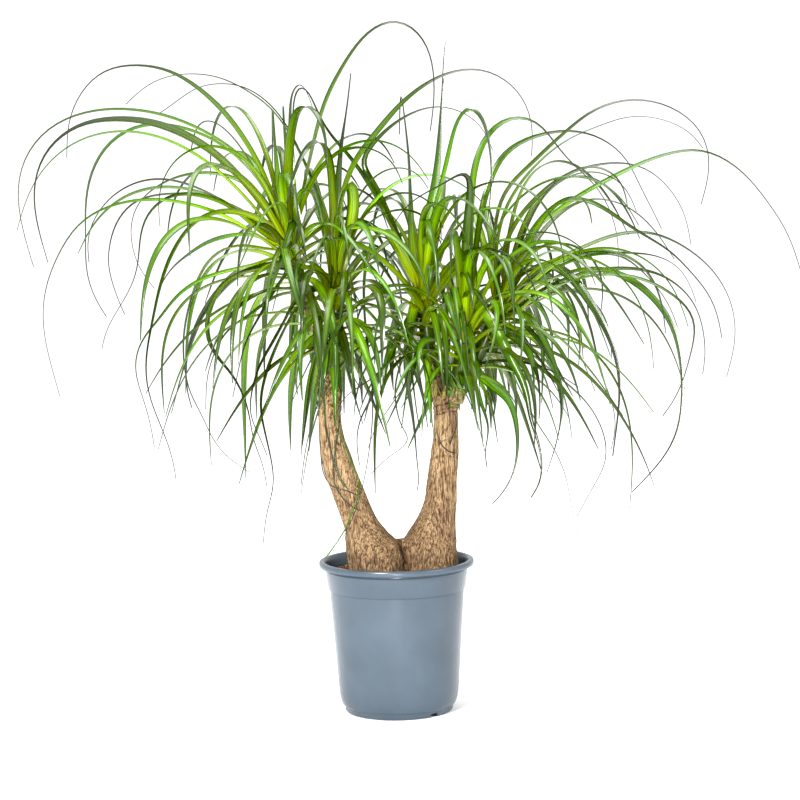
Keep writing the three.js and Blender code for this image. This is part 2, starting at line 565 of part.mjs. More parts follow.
// Shortest distance between two straight stretches, p to q and r to s
function stretchGap(p, q, r, s) {
  const u = q.clone().sub(p);
  const v = s.clone().sub(r);
  const w = p.clone().sub(r);
  const a = u.dot(u);
  const b = u.dot(v);
  const c = v.dot(v);
  const d = u.dot(w);
  const e = v.dot(w);
  const spread = a * c - b * b;
  let m = spread > 1e-9 ? THREE.MathUtils.clamp((b * e - c * d) / spread, 0, 1) : 0;
  const n = THREE.MathUtils.clamp((b * m + e) / c, 0, 1);
  m = THREE.MathUtils.clamp((b * n - d) / a, 0, 1);
  return w.addScaledVector(u, m).addScaledVector(v, -n).length();
}

// Everything that a new leaf has to pass: straight stretches with a thickness and an owner
const inTheWay = [];
function standInTheWay(points, radii, owner) {
  for (let i = 0; i + 1 < points.length; i += 1) {
    inTheWay.push({ from: points[i], to: points[i + 1], radius: radii[i], owner });
  }
}

for (const stem of [LEFT_STEM, RIGHT_STEM]) {
  const points = stem.map(([x, y, z]) => new THREE.Vector3(x, y, z));
  standInTheWay(points, stem.map(([, , , rx, ry]) => Math.max(rx, ry) + 1), 'trunk');
}
for (const [name, branch] of Object.entries(BRANCHES)) {
  const head = HEADS[name];
  const points = branch.map(([x, y, z]) => new THREE.Vector3(x, y, z));
  points.push(head.base);
  standInTheWay(points, branch.map(([, , , radius]) => radius + 1), `branch_${name}`);
  const tip = head.base.clone().addScaledVector(head.axis, head.length);
  standInTheWay([head.base, tip], [head.radius], name);
}
for (const { centre: [x, y], low, high, radius, stand } of DRY_BASES) {
  const ends = [low, high + TALLEST_DRY_BASE].map((z) => new THREE.Vector3(x, y, z));
  standInTheWay(ends, [radius + stand + 2], 'trunk');
}

const SHARES_SHOWN = [0, 0.12, 0.26, 0.41, 0.56, 0.7, 0.85, 1];
const SHARES_FILL = [0, 0.18, 0.38, 0.58, 0.79, 1];
const LOWEST_LEAF = 252;

// True where a leaf of one head passes clear of the trunk, the pot and the other heads' leaves
function isClear(points, shares, width, form, owner) {
  if (points.some((p) => p.z < LOWEST_LEAF)) {
    return false;
  }
  for (let i = 0; i + 1 < points.length; i += 1) {
    const radius = 0.4 * leafWidth(width, form, shares[i]) + 1.3;
    for (const other of inTheWay) {
      const own = other.owner === owner || (other.owner === `branch_${owner}` && i === 0);
      if (!own && stretchGap(points[i], points[i + 1], other.from, other.to) < radius + other.radius) {
        return false;
      }
    }
  }
  return true;
}

function settle(points, shares, width, form, owner) {
  const radii = points.map((p, i) => 0.4 * leafWidth(width, form, shares[i]) + 0.4);
  standInTheWay(points, radii, owner);
}

// Steps to try, nearest first, until a leaf passes clear
const TRIES = [0];
for (let step = 1; step <= 10; step += 1) {
  TRIES.push(step, -step);
}
const DEPTH_STEP = 14;
const BEARING_STEP = 0.07;

const blades = { upper_left: [], left: [], middle: [], front: [], right: [] };

for (const [name, leaves] of Object.entries(SHOWN_LEAVES)) {
  for (const [width, depth, turn, path] of leaves) {
    for (const step of TRIES) {
      const hand = shownPath(HEADS[name], depth + step * DEPTH_STEP, path);
      const points = alongPath(hand, SHARES_SHOWN);
      if (isClear(points, SHARES_SHOWN, width, LONG_FORM, name)) {
        settle(points, SHARES_SHOWN, width, LONG_FORM, name);
        const blade = THREE.MathUtils.degToRad(turn);
        blades[name].push(bladeSolid(points, SHARES_SHOWN, width, LONG_FORM, blade));
        break;
      }
    }
  }
}

for (const [name, { count, seed, shortest, longest }] of Object.entries(FILL_LEAVES)) {
  const random = makeRandom(seed);
  for (let i = 0; i < count; i += 1) {
    const age = (i + 0.5) / count;
    const turn = i * GOLDEN_TURN + 0.5 * (random() - 0.5);
    const bearing = turn + DEPTH_PULL * Math.sin(2 * turn);
    const side = THREE.MathUtils.clamp(HEADS[name].base.x / OUTWARD_REACH, -1, 1);
    const outward = 1 + OUTWARD_PULL * side * Math.cos(bearing);
    const leaf = {
      bearing,
      slope: THREE.MathUtils.degToRad(STEEPEST - (STEEPEST - FLATTEST) * age + 14 * (random() - 0.5)),
      droop: THREE.MathUtils.degToRad(-48 - 46 * random()),
      bend: 0.66 - 0.3 * age + 0.24 * (random() - 0.5),
      sway: 1.4 * (random() - 0.5),
      length: outward * (shortest + (longest - shortest) * random() * (1 - 0.25 * age)),
    };
    const width = 10 + 6 * random();
    const blade = 0.9 * (random() - 0.5);
    const overStem = Math.sin(bearing) < 0.3 && Math.abs(Math.cos(bearing)) < 0.75;
    const lowest = Math.max(300 + 180 * random(), overStem ? LOWEST_OVER_STEM : 0);
    while (ruledPath(HEADS[name], leaf).at(-1).z < lowest) {
      leaf.length *= 0.92;
    }
    for (const step of TRIES) {
      const tried = { ...leaf, bearing: leaf.bearing + step * BEARING_STEP };
      const points = alongPath(ruledPath(HEADS[name], tried), SHARES_FILL);
      if (isClear(points, SHARES_FILL, width, SHORT_FORM, name)) {
        settle(points, SHARES_FILL, width, SHORT_FORM, name);
        blades[name].push(bladeSolid(points, SHARES_FILL, width, SHORT_FORM, blade));
        break;
      }
    }
  }
}

// A ring square to an axis
function ringSquareTo(centre, axis, radius, sides) {
  const side = new THREE.Vector3(0, 1, 0).cross(axis).normalize();
  const over = axis.clone().cross(side);
  const ring = [];
  for (let j = 0; j < sides; j += 1) {
    const turn = (j / sides) * 2 * Math.PI;
    ring.push(centre.clone()
      .addScaledVector(side, radius * Math.cos(turn))
      .addScaledVector(over, radius * Math.sin(turn)));
  }
  return ring;
}

// The green core that a head's leaves grow from
const CORE_SHAPE = [[0, 0.84], [0.25, 1], [0.6, 0.82], [0.88, 0.5], [1, 0.2]];
function makeHead(name) {
  const head = HEADS[name];
  const rings = CORE_SHAPE.map(([share, wide]) => ringSquareTo(
    head.base.clone().addScaledVector(head.axis, head.length * share),
    head.axis,
    head.radius * wide,
    BRANCH_SIDES,
  ));
  return mainBody(join([toSolid(skin(rings)), ...blades[name]]));
}

// Dry leaf bases that stay wrapped round the top of a stem, in one piece with it
function makeDryBases({ centre, low, high, radius, count, seed, wrap, stand }) {
  const random = makeRandom(seed);
  const shares = [0, 0.33, 0.67, 1];
  const bases = [];
  for (let i = 0; i < count; i += 1) {
    const start = i * GOLDEN_TURN;
    const z = low + (high - low) * (i / count);
    const rise = TALLEST_DRY_BASE * (0.52 + 0.48 * random());
    const round = wrap * (0.6 + 0.8 * random()) * (random() < 0.3 ? -1 : 1);
    const points = shares.map((share) => {
      const turn = start + round * share;
      const reach = radius - 4 + (4 + stand) * share;
      return new THREE.Vector3(
        centre[0] + reach * Math.cos(turn),
        centre[1] + reach * Math.sin(turn),
        z + rise * share,
      );
    });
    const rings = points.map((point, j) => {
      const turn = start + round * shares[j];
      const outward = new THREE.Vector3(Math.cos(turn), Math.sin(turn), 0);
      const ahead = points[Math.min(j + 1, 3)].clone().sub(points[Math.max(j - 1, 0)]).normalize();
      const edge = outward.clone().cross(ahead).normalize();
      const half = (4.5 - 2.6 * shares[j]) * (0.8 + 0.4 * random());
      return [
        point.clone().addScaledVector(edge, half),
        point.clone().addScaledVector(outward, 1.2),
        point.clone().addScaledVector(edge, -half),
        point.clone().addScaledVector(outward, -1.4),
      ];
    });
    bases.push(toSolid(skin(rings)));
  }
  return bases;
}

function makeTrunk() {
  const parts = [makeFoot(0)];
  for (const [name, branch] of Object.entries(BRANCHES)) {
    const head = HEADS[name];
    const rings = branchRings(branch, 0, BRANCH_SIDES);
    const seat = head.base.clone().addScaledVector(head.axis, -SEAT_GAP);
    rings.push(ringSquareTo(seat, head.axis, head.radius * 0.84, BRANCH_SIDES));
    parts.push(toSolid(skin(rings)));
  }
  for (const place of DRY_BASES) {
    parts.push(...makeDryBases(place));
  }
  return mainBody(join(parts));
}

// The whole plant in its pot
const MATERIALS = {
  pot: { color: 0x7f91a2, roughness: 0.45, metalness: 0 },
  soil: { color: 0x3a2418, roughness: 1, metalness: 0 },
  trunk: { color: 0xb08a5c, roughness: 0.9, metalness: 0 },
  leaf: { color: 0x4f8f1e, roughness: 0.4, metalness: 0 },
};

const plant = new THREE.Group();
function addPiece(name, solid, look) {
  const mesh = new THREE.Mesh(toGeometry(solid), new THREE.MeshStandardMaterial(MATERIALS[look]));
  mesh.name = name;
  plant.add(mesh);
}

addPiece('pot', makePot(), 'pot');
addPiece('soil', makeSoil(), 'soil');
addPiece('trunk', makeTrunk(), 'trunk');
for (const name of Object.keys(HEADS)) {
  addPiece(`leaf_head_${name}`, makeHead(name), 'leaf');
}

export default plant;
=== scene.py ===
"""Looks of the potted ponytail palm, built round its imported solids.

Metres, +Z up, the front faces -Y. Tables of real sizes are in millimetres.
"""

import itertools
import math

import bpy
import numpy as np
from mathutils import Matrix, Vector, noise


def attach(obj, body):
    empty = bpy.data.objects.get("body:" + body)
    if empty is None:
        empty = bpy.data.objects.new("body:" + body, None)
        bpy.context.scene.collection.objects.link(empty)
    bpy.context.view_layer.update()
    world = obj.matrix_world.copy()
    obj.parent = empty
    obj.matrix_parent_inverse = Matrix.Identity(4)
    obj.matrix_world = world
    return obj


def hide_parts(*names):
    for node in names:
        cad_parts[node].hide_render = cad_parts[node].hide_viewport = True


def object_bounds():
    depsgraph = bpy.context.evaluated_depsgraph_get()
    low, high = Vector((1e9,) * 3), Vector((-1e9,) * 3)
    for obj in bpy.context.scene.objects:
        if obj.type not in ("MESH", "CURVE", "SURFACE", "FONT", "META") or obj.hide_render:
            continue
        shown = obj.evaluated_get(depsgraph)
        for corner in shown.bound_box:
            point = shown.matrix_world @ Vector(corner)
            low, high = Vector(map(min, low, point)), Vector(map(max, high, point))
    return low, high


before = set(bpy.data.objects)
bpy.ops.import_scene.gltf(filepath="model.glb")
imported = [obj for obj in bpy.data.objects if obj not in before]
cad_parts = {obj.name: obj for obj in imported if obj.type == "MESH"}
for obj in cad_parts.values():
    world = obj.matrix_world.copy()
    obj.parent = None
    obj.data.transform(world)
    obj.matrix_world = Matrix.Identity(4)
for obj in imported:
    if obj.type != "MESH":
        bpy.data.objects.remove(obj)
cad_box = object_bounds()


# Pot: a nursery container, injection-moulded in one piece from blue-grey polypropylene.
# It has a rolled lip, a collar, a tapering body and a heel that steps in, with three water
# notches cut in the heel. It stands on its flat base.
POT_OUTSIDE = [
    (78, 0), (82, 0.5), (83.1, 1.8), (84.5, 9.2), (85.1, 10), (86.6, 10.6), (88, 12.6), (89.2, 15.5),
    (90.6, 19.5), (91.7, 24), (92.8, 31), (93.6, 40), (104.2, 188), (104, 190.4), (104.1, 191.8),
    (106.4, 192.2), (106.9, 193.6), (110.6, 222.6), (110, 223.6), (110, 226), (112.4, 226.7), (118.2, 226.9),
    (119.5, 227.6), (120.1, 229), (120.2, 231), (120, 233.6), (119.2, 235.1), (117.8, 235.8), (115, 236),
]
POT_INSIDE = [
    (112.2, 235.7), (110.9, 234.4), (109.8, 231), (108.6, 226), (104.2, 193.9), (102.2, 189),
    (91.4, 40.2), (89.5, 25), (86.8, 17), (83, 11.8), (81.9, 9), (80.8, 3.6), (77.6, 2.5),
]
POT_SIDES = 160
POT_CREASE = 35
NOTCH_TURNS = (40, 160, 280)
NOTCH_PLAN = ((-6.5, -91), (6.5, -91), (6.5, -75), (-6.5, -75))
NOTCH_TOP = 6


def linear(code):
    """A colour written as sRGB hex, as linear red, green, blue and alpha."""
    parts = [int(code[i : i + 2], 16) / 255 for i in (1, 3, 5)]
    return [p / 12.92 if p <= 0.04045 else ((p + 0.055) / 1.055) ** 2.4 for p in parts] + [1.0]


def make_object(name, vertices, faces):
    """A smooth-shaded mesh object. The vertices are in millimetres."""
    mesh = bpy.data.meshes.new(name)
    mesh.from_pydata(np.asarray(vertices, float) * 0.001, [], faces)
    mesh.shade_smooth()
    thing = bpy.data.objects.new(name, mesh)
    bpy.context.scene.collection.objects.link(thing)
    return thing


def bake_modifiers(thing):
    """Puts the result of an object's modifiers in its mesh."""
    graph = bpy.context.evaluated_depsgraph_get()
    mesh = bpy.data.meshes.new_from_object(thing.evaluated_get(graph))
    thing.modifiers.clear()
    thing.data = mesh


def lathe(profile, sides):
    """Vertices and faces of a profile of (radius, height) turned about Z, closed at both ends."""
    turns = np.arange(sides) * 2 * math.pi / sides
    vertices = [(0, 0, profile[0][1])]
    for radius, height in profile:
        vertices += [(radius * math.cos(t), radius * math.sin(t), height) for t in turns]
    vertices.append((0, 0, profile[-1][1]))
    faces = []
    for j in range(sides):
        k = (j + 1) % sides
        faces.append((0, 1 + k, 1 + j))
        for i in range(len(profile) - 1):
            low = 1 + i * sides
            faces.append((low + j, low + k, low + sides + k, low + sides + j))
        top = 1 + (len(profile) - 1) * sides
        faces.append((top + j, top + k, len(vertices) - 1))
    return vertices, faces


def new_material(name):
    """An empty node material. Gives back the material."""
    material = bpy.data.materials.new(name)
    material.use_nodes = True
    material.node_tree.nodes.clear()
    return material


def add_node(material, kind, settings):
    """Adds a node with its settings and links. A node as a value stands for its first output."""
    node = material.node_tree.nodes.new("ShaderNode" + kind)
    for key, value in settings.items():
        if isinstance(value, bpy.types.Node):
            value = value.outputs[0]
        if key == "stops":
            ramp = node.color_ramp
            while len(ramp.elements) < len(value):
                ramp.elements.new(1.0)
            for element, (position, code) in zip(ramp.elements, value):
                element.position = position
                element.color = linear(code)
        elif isinstance(value, bpy.types.NodeSocket):
            material.node_tree.links.new(value, node.inputs[key])
        elif isinstance(key, str) and hasattr(node, key):
            setattr(node, key, value)
        else:
            node.inputs[key].default_value = value
    return node


pot = make_object("pot_visual", *lathe(POT_OUTSIDE + POT_INSIDE, POT_SIDES))
for degrees in NOTCH_TURNS:
    turn = Matrix.Rotation(math.radians(degrees), 3, "Z")
    corners = [turn @ Vector((x, y, z)) for z in (-NOTCH_TOP, NOTCH_TOP) for x, y in NOTCH_PLAN]
    sides = [(0, 3, 2, 1), (4, 5, 6, 7), (0, 1, 5, 4), (1, 2, 6, 5), (2, 3, 7, 6), (3, 0, 4, 7)]
    cutter = make_object("notch", corners, sides)
    cut = pot.modifiers.new("notch", "BOOLEAN")
    cut.operation = "DIFFERENCE"
    cut.object = cutter
    bake_modifiers(pot)
    bpy.data.objects.remove(cutter)
pot.data.set_sharp_from_angle(angle=math.radians(POT_CREASE))

# Satin blue-grey polypropylene: faint clouding in the colour, 70 mm across, and a fine moulded
# grain that is 0.5 mm across
plastic = new_material("satin_blue_grey_polypropylene")
place = add_node(plastic, "TexCoord", {}).outputs["Object"]
cloud = add_node(plastic, "TexNoise", {"Scale": 14.0, "Detail": 4.0, "Vector": place})
tint = add_node(plastic, "ValToRGB", {"stops": [(0.3, "#424d57"), (0.7, "#4a5661")], "Fac": cloud})
grain = add_node(plastic, "TexNoise", {"Scale": 2000.0, "Detail": 2.0, "Vector": place})
bump = add_node(plastic, "Bump", {"Strength": 0.12, "Distance": 0.0002, "Height": grain})
shine = add_node(
    plastic,
    "BsdfPrincipled",
    {"Roughness": 0.26, "Specular IOR Level": 0.45, "Base Color": tint, "Normal": bump},
)
add_node(plastic, "OutputMaterial", {"Surface": shine})
pot.data.materials.append(plastic)
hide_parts("pot")
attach(pot, "root")


# Soil: peat compost with bark crumbs, poured round the foot and pressed down a little below
# the lip. The fine body follows the solid, and loose crumbs lie on it.
SOIL_VOXEL = 0.003
SOIL_TOP = 0.212
SOIL_EDGE = 0.004
SOIL_SINK = 0.0004
SOIL_LUMP = 0.0012
CRUMBS = 1500
CRUMB_LEAST = 0.7
CRUMB_SPREAD = 2.4
CRUMB_STRETCH = 0.8


def make_random(seed):
    """A function that gives seeded random numbers from 0 to 1."""
    state = seed

    def draw():
        nonlocal state
        whole = 0xFFFFFFFF
        state = (state + 0x6D2B79F5) & whole
        t = state
        t = ((t ^ (t >> 15)) * (t | 1)) & whole
        t ^= (t + (t ^ (t >> 7)) * (t | 61)) & whole
        return (t ^ (t >> 14)) / 4294967296

    return draw


def remesh(thing, size):
    """Rebuilds an object's skin in even facets of about that size, in metres."""
    even = thing.modifiers.new("even", "REMESH")
    even.mode = "VOXEL"
    even.voxel_size = size
    bake_modifiers(thing)


def read_rows(items, field):
    """A field of each of a mesh's items, one row of three each, in metres."""
    rows = np.empty(len(items) * 3, np.float32)
    items.foreach_get(field, rows)
    return rows.reshape(-1, 3).astype(float)


def write_points(thing, points):
    """Moves the vertices of an object, in metres."""
    thing.data.vertices.foreach_set("co", np.asarray(points, np.float32).ravel())
    thing.data.update()
def paint(thing, name, values):
    """Stores one number for each vertex, for the material to read."""
    layer = thing.data.attributes.new(name, "FLOAT", "POINT")
    layer.data.foreach_set("value", np.asarray(values, np.float32))


soil = bpy.data.objects.new("soil_visual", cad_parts["soil"].data.copy())
soil.data.materials.clear()
bpy.context.scene.collection.objects.link(soil)
remesh(soil, SOIL_VOXEL)
points = read_rows(soil.data.vertices, "co")
normals = read_rows(soil.data.vertex_normals, "vector")
# Lumps 7 mm and 2.6 mm across, on the open top only
lumps = np.array([noise.noise(Vector(p) * 140) + 0.6 * noise.noise(Vector(p) * 380) for p in points])
open_top = np.clip((points[:, 2] - SOIL_TOP) / SOIL_EDGE, 0, 1) * np.clip(normals[:, 2] * 2, 0, 1)
lift = open_top * (SOIL_LUMP * lumps + SOIL_SINK) - SOIL_SINK
write_points(soil, points + normals * lift[:, None])
soil.data.shade_smooth()

# A crumb is a dented icosahedron, drawn out along a way of its own
golden = (1 + 5**0.5) / 2
to_unit = 0.5257
crumb_points = [
    (x * to_unit, y * to_unit, z * to_unit)
    for a, b in ((1, golden), (1, -golden), (-1, golden), (-1, -golden))
    for x, y, z in ((0, a, b), (a, b, 0), (b, 0, a))
]
crumb_faces = []
for i, j, k in itertools.combinations(range(12), 3):
    three = [Vector(crumb_points[m]) for m in (i, j, k)]
    if max((three[m] - three[m - 1]).length for m in range(3)) < 1.1:
        outward = (three[1] - three[0]).cross(three[2] - three[0]).dot(three[0]) > 0
        crumb_faces.append((i, j, k) if outward else (i, k, j))
ground = [(p, n) for p, n in zip(points, normals) if p[2] > SOIL_TOP + 0.003 and n[2] > 0.7]
random = make_random(41)
vertices = []
faces = []
tones = []
for _ in range(CRUMBS):
    spot = ground[int(random() * len(ground))][0] * 1000
    size = CRUMB_LEAST + CRUMB_SPREAD * random() ** 3
    long_way = Vector((random() - 0.5, random() - 0.5, 0.4 * (random() - 0.5))).normalized()
    tone = random()
    first = len(vertices)
    for corner in crumb_points:
        shape = Vector(corner) * size * (0.75 + 0.5 * random())
        shape += long_way * shape.dot(long_way) * CRUMB_STRETCH
        vertices.append(Vector(spot) + shape + Vector((0, 0, 0.3 * size)))
        tones.append(tone)
    faces += [tuple(first + m for m in face) for face in crumb_faces]
crumbs = make_object("soil_crumbs", vertices, faces)
paint(soil, "tone", 0.35 + 0.5 * lumps)
paint(crumbs, "tone", tones)

# Moist compost: dark red-brown peat in specks 2.4 mm across, with paler bark crumbs
compost = new_material("moist_peat_compost")
place = add_node(compost, "TexCoord", {}).outputs["Object"]
speck = add_node(compost, "TexNoise", {"Scale": 420.0, "Detail": 6.0, "Vector": place})
tone = add_node(compost, "Attribute", {"attribute_name": "tone"}).outputs["Fac"]
mixed = add_node(compost, "Math", {"operation": "MULTIPLY_ADD", 0: tone, 1: 0.5, 2: speck})
tint = add_node(
    compost,
    "ValToRGB",
    {"stops": [(0.42, "#24150d"), (0.68, "#4a2c1b"), (0.86, "#7a5236"), (1.0, "#a98560")], "Fac": mixed},
)
bump = add_node(compost, "Bump", {"Strength": 0.7, "Distance": 0.001, "Height": speck})
shine = add_node(compost, "BsdfPrincipled", {"Roughness": 0.85, "Base Color": tint, "Normal": bump})
add_node(compost, "OutputMaterial", {"Surface": shine})
for thing in (soil, crumbs):
    thing.data.materials.append(compost)
    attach(thing, "root")
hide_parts("soil")


# Trunk: one grown piece of wood, a swollen foot with two lobes that meet at a seam and a stem
# on each, then short bare branches that carry the heads. The bark is tan, cork-like and
# cracked upwards. Sections are (x, y, z, half width, half depth), branches (x, y, z, radius).
LEFT_STEM = [
    (-20, -4, 140, 20, 20), (-24, -5, 158, 36, 38), (-27, -6, 182, 43, 50), (-28, -7, 212, 46, 56),
    (-30, -7, 236, 45, 53), (-34, -7, 252, 43.5, 49), (-36, -7, 263, 41.5, 44), (-41, -6, 271, 37.5, 40),
    (-45, -6, 280, 32.5, 36), (-56, -6, 300, 27.6, 30),
    (-66, -5, 325, 26, 27), (-74.5, -5, 350, 25.2, 25.5), (-83, -5, 375, 24.8, 24.8),
    (-89.5, -5, 400, 23.4, 23.4), (-95.3, -5, 425, 20, 20.5), (-98, -5, 450, 18, 18.5),
    (-98.5, -5, 478, 16.5, 16.5), (-98, -5, 506, 14, 14),
]
RIGHT_STEM = [
    (44, 2, 144, 20, 20), (48, 2, 162, 36, 36), (52, 2, 186, 43, 48), (54.5, 2, 212, 45, 53),
    (52.5, 3, 236, 43.5, 50), (51, 3, 252, 43, 47), (52, 3, 263, 42, 43), (54.5, 3, 273, 38.5, 39),
    (62.8, 3, 300, 29.6, 31), (69.8, 3, 325, 25, 26.5), (72.6, 3, 350, 23.3, 24.5), (75.4, 3, 375, 22.4, 23),
    (78, 3, 400, 21.6, 22), (79.8, 3, 425, 19.9, 20.5), (80.5, 3, 450, 18.9, 19.5),
    (80.5, 3, 476, 19.4, 19.4), (82, 2, 490, 17, 17),
]
HEADS = {
    "upper_left": {"base": (-134, 5, 650), "axis": (-0.26, 0.02, 0.97), "length": 102, "radius": 11},
    "left": {"base": (-85, -15, 560), "axis": (0, -0.01, 1), "length": 136, "radius": 12},
    "middle": {"base": (57, 10, 546), "axis": (-0.07, 0.05, 1), "length": 128, "radius": 12},
    "front": {"base": (103, -26, 508), "axis": (0.1, -0.05, 1), "length": 106, "radius": 14},
    "right": {"base": (130, 2, 543), "axis": (0.42, 0.02, 0.9), "length": 106, "radius": 12},
}
BRANCHES = {
    "upper_left": [
        (-98, -5, 480, 11), (-103, -5, 530, 9.6), (-109, -4, 575, 9), (-121, 0, 618, 9),
    ],
    "left": [(-97, -6, 490, 10), (-90, -11, 530, 9.5)],
    "middle": [(76, 5, 470, 11), (64, 8, 516, 10.5)],
    "front": [(84, -2, 470, 14), (98, -18, 492, 13)],
    "right": [(88, 2, 470, 11), (110, 3, 516, 10.5)],
}
# Wood that fills the notch between the lobes, as rows of (x, y, z, radius)
SADDLE = [(-24, -8, 254, 14), (-6, -8, 258, 11.5), (8, -8, 259, 11), (30, -6, 257, 13)]
BARK_VOXEL = 0.0016
STEM_SIDES = 96
STEM_RINGS = 110
# The seam between the lobes, as (x, z), and its half width
SEAM = [(3, 272), (8, 255), (14, 240), (17, 225), (18, 205)]
SEAM_WIDE = 3.2
# Scars that old leaves left round the right stem, as (height, depth), and up every branch
STEM_SCARS = ((395, 0.8), (424, 0.7), (463, 1.2), (469, 0.9), (476, 1.3), (368, 0.4))
BRANCH_SCARS = range(520, 690, 9)
CRACK_DEPTH = 1.15
PLATE_HEIGHT = 0.3


def unit(vector):
    return vector / max(np.linalg.norm(vector), 1e-9)


def padded(rows):
    """The rows with one more at each end, carried straight on."""
    return np.vstack([2 * rows[0] - rows[1], rows, 2 * rows[-1] - rows[-2]])


def through(rows, count):
    """Rows of numbers, made finer by smooth steps between them."""
    rows = np.asarray(rows, float)
    where = np.linspace(0, len(rows) - 1, count)
    i = np.minimum(where.astype(int), len(rows) - 2)
    t = (where - i)[:, None]
    more = padded(rows)
    a, b, c, d = (more[i + k] for k in range(4))
    return 0.5 * (2 * b + (c - a) * t + (2 * a - 5 * b + 4 * c - d) * t**2 + (3 * b - a - 3 * c + d) * t**3)


def skin(rings):
    """A closed skin over rings of points that run counter-clockwise about the way ahead."""
    rings = np.asarray(rings, float)
    count, sides = rings.shape[:2]
    vertices = rings.reshape(-1, 3)
    faces = [tuple(reversed(range(sides))), tuple(range((count - 1) * sides, count * sides))]
    for i in range(count - 1):
        for j in range(sides):
            k = (j + 1) % sides
            faces.append((i * sides + j, i * sides + k, (i + 1) * sides + k, (i + 1) * sides + j))
    return vertices, faces


def merge(skins):
    """Several (vertices, faces) as one."""
    vertices = []
    faces = []
    for more_vertices, more_faces in skins:
        first = len(vertices)
        vertices.extend(more_vertices)
        faces.extend(tuple(first + m for m in face) for face in more_faces)
    return vertices, faces


def stem_skin(sections, phase):
    """A lobe and its stem, with shallow upright ridges."""
    rings = []
    turns = np.arange(STEM_SIDES) * 2 * math.pi / STEM_SIDES
    for x, y, z, wide, deep in through(sections, STEM_RINGS):
        ridge = 1 + 0.022 * np.sin(7 * turns + z / 23 + phase) + 0.012 * np.sin(4 * turns - z / 31)
        across = x + wide * ridge * np.cos(turns)
        back = y + deep * ridge * np.sin(turns)
        rings.append(np.stack([across, back, turns * 0 + z], 1))
    return skin(rings)


def tube(rows, sides):
    """A tube through rows of (x, y, z, radius)."""
    rows = np.asarray(rows, float)
    rings = []
    turns = np.arange(sides)[:, None] * 2 * math.pi / sides
    for i, row in enumerate(rows):
        ahead = unit(rows[min(i + 1, len(rows) - 1), :3] - rows[max(i - 1, 0), :3])
        side = unit(np.cross((0, 1, 0), ahead))
        over = np.cross(ahead, side)
        rings.append(row[:3] + row[3] * (np.cos(turns) * side + np.sin(turns) * over))
    return skin(rings)


for head in HEADS.values():
    head["base"] = np.array(head["base"], float)
    head["axis"] = unit(np.array(head["axis"], float))

skins = [stem_skin(LEFT_STEM, 0), stem_skin(RIGHT_STEM, 1.7), tube(through(SADDLE, 16), 24)]
for name, branch in BRANCHES.items():
    head = HEADS[name]
    seat = head["base"] - 0.3 * head["axis"]
    rows = [*branch, (*seat, head["radius"] * 0.84)]
    skins.append(tube(through(rows, 12 * len(rows)), 32))
trunk = make_object("trunk_visual", *merge(skins))
remesh(trunk, BARK_VOXEL)

points = read_rows(trunk.data.vertices, "co")
normals = read_rows(trunk.data.vertex_normals, "vector")
mm = points * 1000
height = mm[:, 2]
# Upright cracks about 4 mm apart with finer ones between, round corky plates 9 mm across
cracks = np.empty(len(mm))
plates = np.empty(len(mm))
for i, (x, y, z) in enumerate(mm):
    drift = 2.2 * noise.noise(Vector((x / 14, y / 14, z / 30)))
    upright = noise.noise(Vector((x / 3.6 + drift, y / 3.6 - drift, z / 44)))
    fine = noise.noise(Vector((x / 1.7, y / 1.7, z / 22 + 7)))
    cracks[i] = max(1 - abs(upright) / 0.13, 0.75 * (1 - abs(fine) / 0.12), 0)
    grit = noise.noise(Vector((x / 2.3, y / 2.3, z / 3.4)))
    plates[i] = noise.noise(Vector((x / 9, y / 9, z / 9))) + 0.6 * grit
rough = np.clip((330 - height) / 110, 0, 1) * 0.7 + 0.5
scars = np.zeros(len(mm))
for level, deep in STEM_SCARS:
    wave = 3 * np.sin(mm[:, 0] / 9 + level)
    scars += deep * np.exp(-(((height - level - wave) / 1.5) ** 2)) * (mm[:, 0] > 30)
for level in BRANCH_SCARS:
    wave = 2 * np.sin(mm[:, 0] / 6 + level)
    scars += 0.7 * np.exp(-(((height - level - wave) / 1.3) ** 2)) * (height > 500)
seam_x = np.interp(-height, [-z for _, z in SEAM], [x for x, _ in SEAM])
seam = np.exp(-(((mm[:, 0] - seam_x) / SEAM_WIDE) ** 2)) * np.clip((276 - height) / 8, 0, 1)
lift = PLATE_HEIGHT * plates * rough - CRACK_DEPTH * cracks * rough - scars - 0.5 * seam
# The branches' ends stay as they are, where the heads stand on them
free_ends = np.min([np.linalg.norm(mm - head["base"], axis=1) for head in HEADS.values()], axis=0)
lift *= np.clip((free_ends - 6) / 12, 0, 1)
write_points(trunk, points + normals * (lift * 0.001)[:, None])
# The cracks and leaf scars are darker in colour, and the seam between the lobes is painted dark as shade in
# its crease
paint(trunk, "crack", np.clip(cracks * 0.8 + scars * 0.5 + 0.7 * seam, 0, 1))
paint(trunk, "plate", 0.5 + 0.4 * plates)

# Cork-like bark: warm tan flecks 2.4 mm wide and 45 mm tall, brown fissures 1.6 mm wide, and
# darker low down. Cracks and leaf scars are darker brown, and painted shade darkens the seam between the
# lobes
bark = new_material("tan_cracked_bark")
place = add_node(bark, "TexCoord", {}).outputs["Object"]
stretch = add_node(bark, "Mapping", {"Scale": (420.0, 420.0, 22.0), "Vector": place})
fleck_settings = {"Scale": 1.0, "Detail": 5.0, "Roughness": 0.6, "Vector": stretch}
fleck = add_node(bark, "TexNoise", fleck_settings)
cloud = add_node(bark, "TexNoise", {"Scale": 26.0, "Detail": 3.0, "Vector": place})
crack = add_node(bark, "Attribute", {"attribute_name": "crack"}).outputs["Fac"]
plate = add_node(bark, "Attribute", {"attribute_name": "plate"}).outputs["Fac"]
up = add_node(bark, "SeparateXYZ", {"Vector": place}).outputs["Z"]
mixed = add_node(
    bark, "MapRange", {"From Min": 0.22, "From Max": 0.42, "To Min": -0.09, "To Max": 0.05, "Value": up}
)
